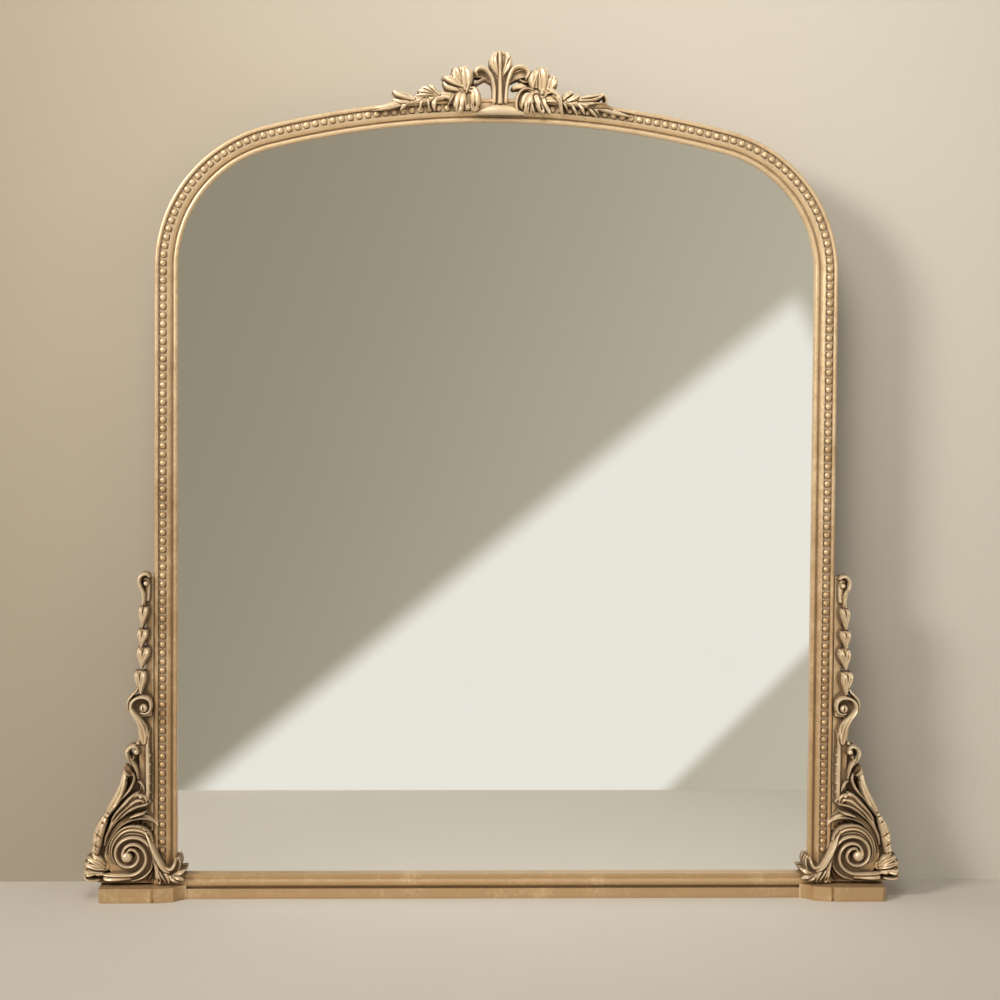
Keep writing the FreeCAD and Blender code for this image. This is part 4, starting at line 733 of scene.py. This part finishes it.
def carve_right_flower(carving):
    """The cupped flower: three lobed petals above, and a drooping one with fingers below."""
    carving.lay(flat, (46.6, 10, 10.0, 9), (47.2, 18, 14.6, 10.5), (47, 23, 13.0, 11),
                (46.4, 27, 8.4, 10.5), edge=3.0)
    carving.heap(plump, (46, 10.6, 7.0, 9.5), (46.4, 20, 9.6, 12), (45.6, 27, 8.2, 12.5),
                 (45, 30.6, 5.4, 11.5), edge=3.0)
    carving.heap(plump, (38, 11, 5.4, 10), (36.8, 18, 7.0, 13), (37.6, 24.6, 6.6, 13),
                 (38.8, 28.2, 4.6, 12), edge=2.6)
    carving.heap(plump, (54, 11, 5.4, 10), (56.4, 16.4, 7.6, 12.5), (57.4, 20.2, 7.0, 13),
                 (58, 21.6, 5.8, 12), edge=2.6)
    carving.heap(roll, (36, 10.6, 1.3, 13), (37, 17, 1.8, 15), (39.6, 23, 1.6, 15), (42, 29, 1.1, 13))
    carving.heap(roll, (52, 19.6, 1.0, 12.5), (51.6, 26, 1.6, 15), (50.4, 32, 1.1, 12.5))
    carving.heap(roll, (57, 11, 1.2, 12), (60.6, 15.6, 1.8, 14.5), (63, 21, 1.5, 13.5))
    carving.heap(roll, (34.6, 14, 1.1, 12.5), (31.8, 19.2, 1.6, 14), (33.2, 25.4, 1.1, 12.5))
    carving.cut((44.6, 22, 0.8, 1), (43.6, 29, 1.0, 2.5), (42.6, 36, 1.6, 5))
    carving.lay(plump, (39, 5.6, 6.0, 8), (32, 2, 10.2, 9.5), (29.4, -5, 11.0, 9.5), (30.4, -9, 8.6, 8.5),
                edge=1.6)
    carving.lay(plump, (40, 1, 4.6, 8.5), (43, -7, 4.6, 9.5), (47.6, -14, 3.0, 8))
    carving.creases((((26.6, -5), (25, -15)), ((33.4, -5), (32.4, -16)), ((38.6, -4), (42.6, -16.6)),
                     ((44.4, -5), (46.4, -12.6))), (0.8, 1), (1.5, 5), (1.2, 5))
    carving.heap(roll, (29.4, -5, 1.0, 10), (28.6, -11.4, 1.5, 12), (28, -16.4, 1.0, 9))
    carving.heap(roll, (35, -6, 1.0, 10), (36.8, -12.6, 1.5, 12), (39.4, -17.6, 1.0, 8.5))
    carving.heap(roll, (39.4, -8, 1.2, 10.5), (43.2, -13.4, 1.6, 12.5), (49, -17.2, 1.1, 9.5))
    carving.cut((23.6, 4, 1.0, 2), (28, 7, 1.4, 5), (34.4, 6.2, 1.0, 2.5))
    carving.heap(roll, (37, 9, 1.2, 11), (30, 10.4, 1.8, 13), (24, 8.6, 2.0, 14), (20, 3.4, 2.1, 14.5),
                 (18, -3, 2.1, 14.5), (18.2, -9.4, 1.8, 13), (20.6, -14.4, 1.2, 10))
    carving.dome(46, 5.4, 2.0, 13.5)


def carve_right_spray():
    """The right half of the crest, with the opening that its leaf rings."""
    carving = Relief((13, 150), (-30, 42), -8)
    carve_right_stem(carving)
    carve_right_ring(carving)
    carve_right_flower(carving)
    carving.pierce((52.4, -5.4, 1.9, 0), (60.4, -6, 2.1, 0))
    return carving


def crest(material):
    for node, carve in (("crest_palmette", carve_palmette), ("left_crest_spray", carve_left_spray),
                        ("right_crest_spray", carve_right_spray)):
        casting(node, material, carve(), crest_back, as_drawn, from_arch, False)


# Shader parts
def feed(tree, node, inputs):
    """Gives each socket of a node a value or another node's output."""
    for socket, value in inputs.items():
        if isinstance(value, bpy.types.NodeSocket):
            tree.links.new(value, node.inputs[socket])
        else:
            node.inputs[socket].default_value = value


def add(tree, kind, inputs=None, **settings):
    """A new node with its settings and inputs."""
    node = tree.nodes.new(kind)
    for name, value in settings.items():
        setattr(node, name, value)
    feed(tree, node, inputs or {})
    return node


def maths(tree, operation, first, second):
    return add(tree, "ShaderNodeMath", {0: first, 1: second}, operation=operation).outputs[0]


def times(tree, first, second):
    return maths(tree, "MULTIPLY", first, second)


def plus(tree, first, second):
    return maths(tree, "ADD", first, second)


def less(tree, first, second):
    return maths(tree, "SUBTRACT", first, second)


def mix(tree, share, first, second):
    """Two colours mixed; a colour is a socket or a red, green, blue triple."""
    colours = [c if isinstance(c, bpy.types.NodeSocket) else (*c, 1.0) for c in (first, second)]
    return add(tree, "ShaderNodeMix", {0: share, 6: colours[0], 7: colours[1]}, data_type="RGBA").outputs[2]


def stretch(tree, value, low, high, to_low=0.0, to_high=1.0):
    """A value eased from one range to another."""
    inputs = {0: value, 1: low, 2: high, 3: to_low, 4: to_high}
    return add(tree, "ShaderNodeMapRange", inputs, interpolation_type="SMOOTHSTEP").outputs[0]


def noise(tree, place, scale, detail=3.0, roughness=0.55):
    inputs = {"Vector": place, "Scale": scale, "Detail": detail, "Roughness": roughness}
    return add(tree, "ShaderNodeTexNoise", inputs).outputs[0]


def millimetres(tree, squeeze=(1000.0, 1000.0, 1000.0)):
    """The object's own coordinates in millimetres, squeezed along some axes for a grain."""
    place = add(tree, "ShaderNodeTexCoord").outputs["Object"]
    return add(tree, "ShaderNodeVectorMath", {0: place, 1: squeeze}, operation="MULTIPLY").outputs[0]


def shader_group(name, inputs, outputs):
    """An empty node group: its tree, the sockets that it is given, and the node for what it makes."""
    tree = bpy.data.node_groups.new(name, "ShaderNodeTree")
    for label in inputs:
        tree.interface.new_socket(label, in_out="INPUT", socket_type="NodeSocketFloat")
    for label in outputs:
        kind = "NodeSocketColor" if label == "Colour" else "NodeSocketFloat"
        tree.interface.new_socket(label, in_out="OUTPUT", socket_type=kind)
    return tree, tree.nodes.new("NodeGroupInput").outputs, tree.nodes.new("NodeGroupOutput")


GOLD_DEEP = (0.53, 0.35, 0.18)
GOLD_LIGHT = (0.84, 0.63, 0.39)
# Pale gold of worn high points, also standing in as painted highlight
GOLD_RUBBED_AND_HIGHLIGHT = (0.98, 0.84, 0.62)
# Umber of the glazing in the hollows, also standing in as painted shade there
UMBER_GLAZE_AND_SHADE = (0.085, 0.047, 0.021)


def gilding_group():
    """Antique gilding: uneven leaf painted lighter at the top, worn pale with painted highlight where proud,
    umber glazing and painted shade in the hollows.
    """
    outputs = ("Colour", "Roughness", "Metallic", "Height")
    tree, given, made = shader_group("antique_gilding", ("Sunk", "Proud"), outputs)
    place = millimetres(tree)
    patches = noise(tree, place, 0.028, 4.0)
    mottle = noise(tree, place, 0.21, 5.0, 0.6)
    grain = noise(tree, place, 1.3, 3.0)
    raised = add(tree, "ShaderNodeSeparateXYZ", {0: place}).outputs["Z"]
    tone = plus(tree, times(tree, patches, 0.55), times(tree, mottle, 0.45))
    # Painted light: the tone rises with height, so the leaf is lighter at the top and darker at the foot.
    tone = plus(tree, tone, stretch(tree, raised, 0.0, 880.0, -0.16, 0.14))
    leaf = mix(tree, stretch(tree, tone, 0.32, 0.68), GOLD_DEEP, GOLD_LIGHT)
    loose = times(tree, less(tree, mottle, 0.5), 0.5)
    # Umber glazing and painted shade: darker where the surface is sunk or enclosed.
    glaze_and_shade = stretch(tree, plus(tree, given["Sunk"], loose), 0.1, 0.8)
    # Wear and painted highlight: paler where the surface stands proud.
    rub_and_highlight = stretch(tree, plus(tree, given["Proud"], loose), 0.12, 0.75)
    flecks = stretch(tree, noise(tree, place, 0.62, 2.0), 0.68, 0.76, 0.0, 0.35)
    dark = maths(tree, "MAXIMUM", times(tree, glaze_and_shade, 0.8), flecks)
    rough = plus(tree, times(tree, glaze_and_shade, 0.26), times(tree, mottle, 0.18))
    feed(tree, made, {"Colour": mix(tree, dark, mix(tree, times(tree, rub_and_highlight, 0.55), leaf, GOLD_RUBBED_AND_HIGHLIGHT), UMBER_GLAZE_AND_SHADE),
                      "Roughness": plus(tree, rough, 0.27),
                      "Metallic": stretch(tree, glaze_and_shade, 0.0, 1.0, 0.5, 0.15),
                      "Height": plus(tree, times(tree, grain, 0.3), times(tree, mottle, 0.7))})
    return tree


def timber_group():
    """Bare softwood: long growth lines with darker late wood, dry fibres and a few small knots of tone."""
    tree, given, made = shader_group("bare_softwood", ("Dark",), ("Colour", "Roughness", "Height"))
    lines = noise(tree, millimetres(tree, (520.0, 520.0, 26.0)), 0.6, 4.0)
    fibres = noise(tree, millimetres(tree, (2400.0, 2400.0, 60.0)), 0.9, 3.0)
    stains = stretch(tree, noise(tree, millimetres(tree), 0.014, 3.0), 0.5, 0.75)
    late = stretch(tree, lines, 0.44, 0.66)
    colour = mix(tree, late, (0.56, 0.37, 0.2), (0.34, 0.19, 0.085))
    colour = mix(tree, times(tree, fibres, 0.3), colour, (0.66, 0.48, 0.3))
    feed(tree, made, {"Colour": mix(tree, times(tree, stains, given["Dark"]), colour, (0.13, 0.075, 0.04)),
                      "Roughness": stretch(tree, fibres, 0.2, 0.8, 0.62, 0.85),
                      "Height": plus(tree, fibres, times(tree, late, 0.5))})
    return tree


def finish(name):
    """A new material: its node tree and its Principled shader."""
    material = bpy.data.materials.new(name)
    material.use_nodes = True
    tree = material.node_tree
    shader = tree.nodes["Principled BSDF"]
    return material, tree, shader


def use_group(tree, group, **inputs):
    return add(tree, "ShaderNodeGroup", inputs, node_tree=group).outputs


def bump(tree, height, strength, depth):
    """The normal of a surface that is uneven to a depth in millimetres."""
    inputs = {"Height": height, "Strength": strength, "Distance": depth * MM}
    return add(tree, "ShaderNodeBump", inputs).outputs[0]


def shelter(tree, reach, inside=False):
    """How enclosed a point is by what stands round it, from 0 to 1."""
    node = add(tree, "ShaderNodeAmbientOcclusion", {"Distance": reach * MM}, samples=8, inside=inside)
    return less(tree, 1.0, node.outputs["AO"])


def gilt_finish(name, gilding, sunk, proud):
    """A gilded material from masks that functions of its tree give."""
    material, tree, shader = finish(name)
    leaf = use_group(tree, gilding, Sunk=sunk(tree), Proud=proud(tree))
    feed(tree, shader, {"Base Color": leaf["Colour"], "Roughness": leaf["Roughness"],
                        "Metallic": leaf["Metallic"], "Normal": bump(tree, leaf["Height"], 0.35, 0.5)})
    return material, tree, shader, leaf


def carving_gilding(gilding):
    """The castings' gilding, from the tones that the carver's heights give: umber glazing and painted shade
    where sunk or enclosed, wear and painted highlight where proud.
    """

    def sunk(tree):
        cut = add(tree, "ShaderNodeAttribute", attribute_name="recess").outputs["Fac"]
        # Painted shade where the surroundings enclose a point, over the umber glazing in the carved hollows.
        return plus(tree, times(tree, cut, 0.85), times(tree, shelter(tree, 9.0), 0.55))

    def proud(tree):
        return add(tree, "ShaderNodeAttribute", attribute_name="rub_and_highlight").outputs["Fac"]

    return gilt_finish("carving_gilding", gilding, sunk, proud)[0]


def moulding_gilding(name, gilding, timber, reach, gain):
    """Gilding of the wooden members: umber glazing and painted shade in the quirks and where parts enclose
    them, wear and painted highlight on edges, bare wood on faces to the wall.
    """

    def sunk(tree):
        # Painted shade with umber glazing, from how enclosed each point is.
        return stretch(tree, shelter(tree, reach), 0.22, 0.85, 0.0, gain)

    def proud(tree):
        # Wear and painted highlight on edges and bead tops.
        return stretch(tree, shelter(tree, 2.2, inside=True), 0.45, 0.95, 0.0, 0.55)

    material, tree, shader, leaf = gilt_finish(name, gilding, sunk, proud)
    wood = use_group(tree, timber, Dark=0.8)
    normal = add(tree, "ShaderNodeNewGeometry").outputs["True Normal"]
    facing = add(tree, "ShaderNodeSeparateXYZ", {0: normal}).outputs["Y"]
    ragged = times(tree, noise(tree, millimetres(tree), 0.12), 0.2)
    bare = stretch(tree, plus(tree, facing, ragged), 0.95, 1.0)
    feed(tree, shader, {"Base Color": mix(tree, bare, leaf["Colour"], wood["Colour"]),
                        "Roughness": stretch(tree, bare, 0.0, 1.0, leaf["Roughness"], wood["Roughness"]),
                        "Metallic": times(tree, leaf["Metallic"], less(tree, 1.0, bare))})
    return material


def silvered_glass():
    """A bright plate with the faint unevenness of its silvering."""
    material, tree, shader = finish("silvered_glass")
    clouds = noise(tree, millimetres(tree), 0.006, 3.0)
    haze = noise(tree, millimetres(tree), 0.03, 4.0)
    feed(tree, shader, {"Base Color": mix(tree, clouds, (0.93, 0.94, 0.925), (0.965, 0.97, 0.96)),
                        "Roughness": stretch(tree, haze, 0.3, 0.75, 0.006, 0.022),
                        "Metallic": 1.0})
    return material


def hardboard():
    """Brown pressed-fibre board with a fine mesh face."""
    material, tree, shader = finish("hardboard")
    fibres = noise(tree, millimetres(tree), 0.9, 5.0, 0.7)
    clouds = noise(tree, millimetres(tree), 0.02, 3.0)
    colour = mix(tree, stretch(tree, fibres, 0.3, 0.7), (0.17, 0.095, 0.048), (0.34, 0.21, 0.115))
    feed(tree, shader, {"Base Color": mix(tree, times(tree, clouds, 0.35), colour, (0.25, 0.16, 0.095)),
                        "Roughness": stretch(tree, fibres, 0.2, 0.8, 0.6, 0.85),
                        "Normal": bump(tree, fibres, 0.5, 0.4)})
    return material


def bare_timber(timber):
    """Plain softwood of the battens and dowels."""
    material, tree, shader = finish("bare_timber")
    wood = use_group(tree, timber, Dark=0.45)
    feed(tree, shader, {"Base Color": wood["Colour"], "Roughness": wood["Roughness"],
                        "Normal": bump(tree, wood["Height"], 0.4, 0.3)})
    return material


def plated_steel():
    """Zinc-plated hangers and screws, a little dulled."""
    material, tree, shader = finish("plated_steel")
    clouds = noise(tree, millimetres(tree), 0.3, 4.0)
    scratches = noise(tree, millimetres(tree, (4000.0, 4000.0, 300.0)), 1.0, 3.0)
    feed(tree, shader, {"Base Color": mix(tree, clouds, (0.5, 0.5, 0.48), (0.7, 0.69, 0.64)),
                        "Roughness": stretch(tree, plus(tree, clouds, scratches), 0.6, 1.5, 0.24, 0.5),
                        "Metallic": 0.95,
                        "Normal": bump(tree, scratches, 0.15, 0.1)})
    return material


def bumper_felt():
    """Grey-brown felt discs."""
    material, tree, shader = finish("bumper_felt")
    fuzz = noise(tree, millimetres(tree), 2.2, 5.0, 0.75)
    tone = stretch(tree, fuzz, 0.25, 0.75)
    feed(tree, shader, {"Base Color": mix(tree, tone, (0.09, 0.075, 0.06), (0.27, 0.235, 0.2)),
                        "Roughness": stretch(tree, fuzz, 0.2, 0.8, 0.85, 1.0),
                        "Sheen Weight": 0.4,
                        "Normal": bump(tree, fuzz, 0.8, 0.8)})
    return material


def dress(material, *names):
    """Gives CAD nodes a finish."""
    for name in names:
        mesh = nodes[name].data
        mesh.materials.clear()
        mesh.materials.append(material)


def both(*names):
    return [side + name for name in names for side in ("left_", "right_")]


# Room, lights and camera
CAMERA_DISTANCE = 2600.0
CAMERA_X = -113.0
CAMERA_Z = 557.0
CAMERA_YAW, CAMERA_PITCH, CAMERA_ROLL = 2.59, 2.42, 0.41
CAMERA_LENS = 82.9
CAMERA_SENSOR = 36.0
WALL_PLACE = 88.0
SCREEN_PLACE = -705.0
ROOM_REACH = 6000.0
SCREEN_REACH = 2400.0
FLOOR_COLOUR = (0.62, 0.57, 0.5)
# Painted shade and painted light of the wall, from its left to its right
WALL_SHADE = (0.36, 0.305, 0.225)
WALL_LIGHT = (0.66, 0.61, 0.52)


def photo_camera():
    """The camera that lines up the frame's outline with the photograph."""
    yaw, pitch, lean = (math.radians(a) for a in (CAMERA_YAW, CAMERA_PITCH, CAMERA_ROLL))
    ahead = Vector((math.sin(yaw) * math.cos(pitch), math.cos(yaw) * math.cos(pitch), -math.sin(pitch)))
    level = Vector((math.cos(yaw), -math.sin(yaw), 0))
    right = level * math.cos(lean) + level.cross(ahead) * math.sin(lean)
    camera = bpy.data.objects.new("photo_camera", bpy.data.cameras.new("photo_camera"))
    bpy.context.scene.collection.objects.link(camera)
    turn = Matrix((right, right.cross(ahead), -ahead)).transposed().to_4x4()
    place = Vector((CAMERA_X, FRAME_BACK - CAMERA_DISTANCE, CAMERA_Z)) * MM
    camera.matrix_world = Matrix.Translation(place) @ turn
    camera.data.lens = CAMERA_LENS
    camera.data.sensor_width = CAMERA_SENSOR
    camera.data.clip_end = 50.0
    bpy.context.scene.camera = camera


def stage_plane(name, corners, material):
    mesh = bpy.data.meshes.new(name)
    mesh.from_pydata([Vector(c) * MM for c in corners], [], [tuple(range(len(corners)))])
    mesh.materials.append(material)
    plane = bpy.data.objects.new(name, mesh)
    bpy.context.scene.collection.objects.link(plane)
    return plane


def floor_paint():
    material, tree, shader = finish("floor_paint")
    clouds = noise(tree, millimetres(tree), 0.004, 4.0)
    worn = [0.96 * part for part in FLOOR_COLOUR]
    feed(tree, shader, {"Base Color": mix(tree, clouds, worn, FLOOR_COLOUR), "Roughness": 0.75})
    return material


def wall_paint():
    """Matt plaster, seen from the room side only, with painted shade darkening it towards the left."""
    material, tree, shader = finish("wall_paint")
    place = add(tree, "ShaderNodeTexCoord").outputs["Object"]
    across = add(tree, "ShaderNodeSeparateXYZ", {0: place}).outputs["X"]
    clouds = times(tree, noise(tree, millimetres(tree), 0.003, 4.0), 0.16)
    # Painted shade: darker towards the left, lighter towards the right.
    share = stretch(tree, plus(tree, across, clouds), -0.75, 0.75)
    feed(tree, shader, {"Base Color": mix(tree, share, WALL_SHADE, WALL_LIGHT), "Roughness": 0.9})
    back = add(tree, "ShaderNodeNewGeometry").outputs["Backfacing"]
    clear = add(tree, "ShaderNodeBsdfTransparent")
    both_sides = add(tree, "ShaderNodeMixShader", {0: back, 1: shader.outputs[0], 2: clear.outputs[0]})
    feed(tree, tree.nodes["Material Output"], {"Surface": both_sides.outputs[0]})
    return material


def screen_light():
    """A glowing plane, no lamp, painted as the reflection of the opposite wall: warm grey with painted shade
    towards the left and a slanting band of painted light.
    """
    material, tree, _ = finish("screen_light")
    place = add(tree, "ShaderNodeTexCoord").outputs["Object"]
    parts = add(tree, "ShaderNodeSeparateXYZ", {0: place}).outputs
    across, up = parts["X"], parts["Z"]
    shade = stretch(tree, less(tree, across, times(tree, up, 0.35)), -0.75, 0.6)
    grey = mix(tree, shade, (0.30, 0.262, 0.19), (0.53, 0.485, 0.385))
    upper = stretch(tree, less(tree, times(tree, across, 0.83), up), -0.36, -0.30)
    lower = stretch(tree, less(tree, across, up), 0.30, 0.26)
    edge = stretch(tree, plus(tree, across, times(tree, up, 0.5)), 0.84, 0.79)
    band = times(tree, times(tree, upper, lower), edge)
    colour = mix(tree, band, grey, (0.85, 0.82, 0.74))
    # The plane glows with these colours, though it is no lamp.
    glow = add(tree, "ShaderNodeEmission", {"Color": colour, "Strength": 1.0})
    feed(tree, tree.nodes["Material Output"], {"Surface": glow.outputs[0]})
    return material


def upright(place, reach):
    """The corners of a plane that stands on the floor across the room."""
    return [(-reach, place, 0), (reach, place, 0), (reach, place, reach), (-reach, place, reach)]


def room():
    """Floor, wall behind, and the glowing screen in front, a painted reflection that only the glass and the
    gilding show.
    """
    far = ROOM_REACH
    stage_plane("floor", [(-far, -far, 0), (far, -far, 0), (far, far, 0), (-far, far, 0)], floor_paint())
    stage_plane("wall", upright(WALL_PLACE, far), wall_paint())
    screen = stage_plane("screen", upright(SCREEN_PLACE, SCREEN_REACH), screen_light())
    screen.visible_camera = screen.visible_diffuse = False
    screen.visible_shadow = screen.visible_transmission = False


def lamp(name, place, aim, size, power, colour, spread=180):
    light = bpy.data.lights.new(name, "AREA")
    light.shape = "DISK"
    light.size = size
    light.energy = power
    light.spread = math.radians(spread)
    light.color = colour
    piece = bpy.data.objects.new(name, light)
    piece.location = place
    piece.rotation_euler = (Vector(aim) - Vector(place)).to_track_quat("-Z", "Y").to_euler()
    bpy.context.scene.collection.objects.link(piece)


def studio():
    lamp("key", (-2.3, -2.1, 2.0), (0, 0, 0.7), 1.0, 80, (1.0, 0.97, 0.92))
    lamp("fill", (2.2, -2.4, 1.8), (0, 0, 0.7), 1.8, 12, (1.0, 0.98, 0.95))
    lamp("top", (-0.3, -1.5, 2.0), (0, 0, 0.95), 0.9, 4.2, (1.0, 0.98, 0.95), 70)
    world = bpy.data.worlds.new("room_light")
    world.use_nodes = True
    world.node_tree.nodes["Background"].inputs["Color"].default_value = (0.9, 0.87, 0.82, 1.0)
    world.node_tree.nodes["Background"].inputs["Strength"].default_value = 0.24
    bpy.context.scene.world = world


gilding = gilding_group()
timber = timber_group()
carved = carving_gilding(gilding)
moulded = moulding_gilding("moulding_gilding", gilding, timber, 7.0, 0.75)
# The beads get deeper painted shade in the gaps between them.
beaded = moulding_gilding("bead_gilding", gilding, timber, 5.0, 1.25)
wood = bare_timber(timber)
steel = plated_steel()
dress(moulded, "crown", "bottom_rail", "crown_fillet", *both("stile", "shoulder", "plinth", "wing_board"))
dress(beaded, *both("bead_strip", "shoulder_beads", "crown_beads"))
dress(wood, "bottom_batten", "crown_batten", "frame_dowels", "wing_dowels", "crest_dowels", "setting_pads",
      *both("batten", "shoulder_batten"))
dress(steel, "bracket_screws", "plinth_screws", "hanger_screws", *both("hanger_strap", "hanger_ring"))
dress(silvered_glass(), "mirror_plate")
dress(hardboard(), "back_panel")
dress(bumper_felt(), "wall_bumpers")
side_castings(carved)
corner_leaves(carved)
crest(carved)
room()
studio()
photo_camera()
bpy.context.scene.view_settings.view_transform = "Standard"
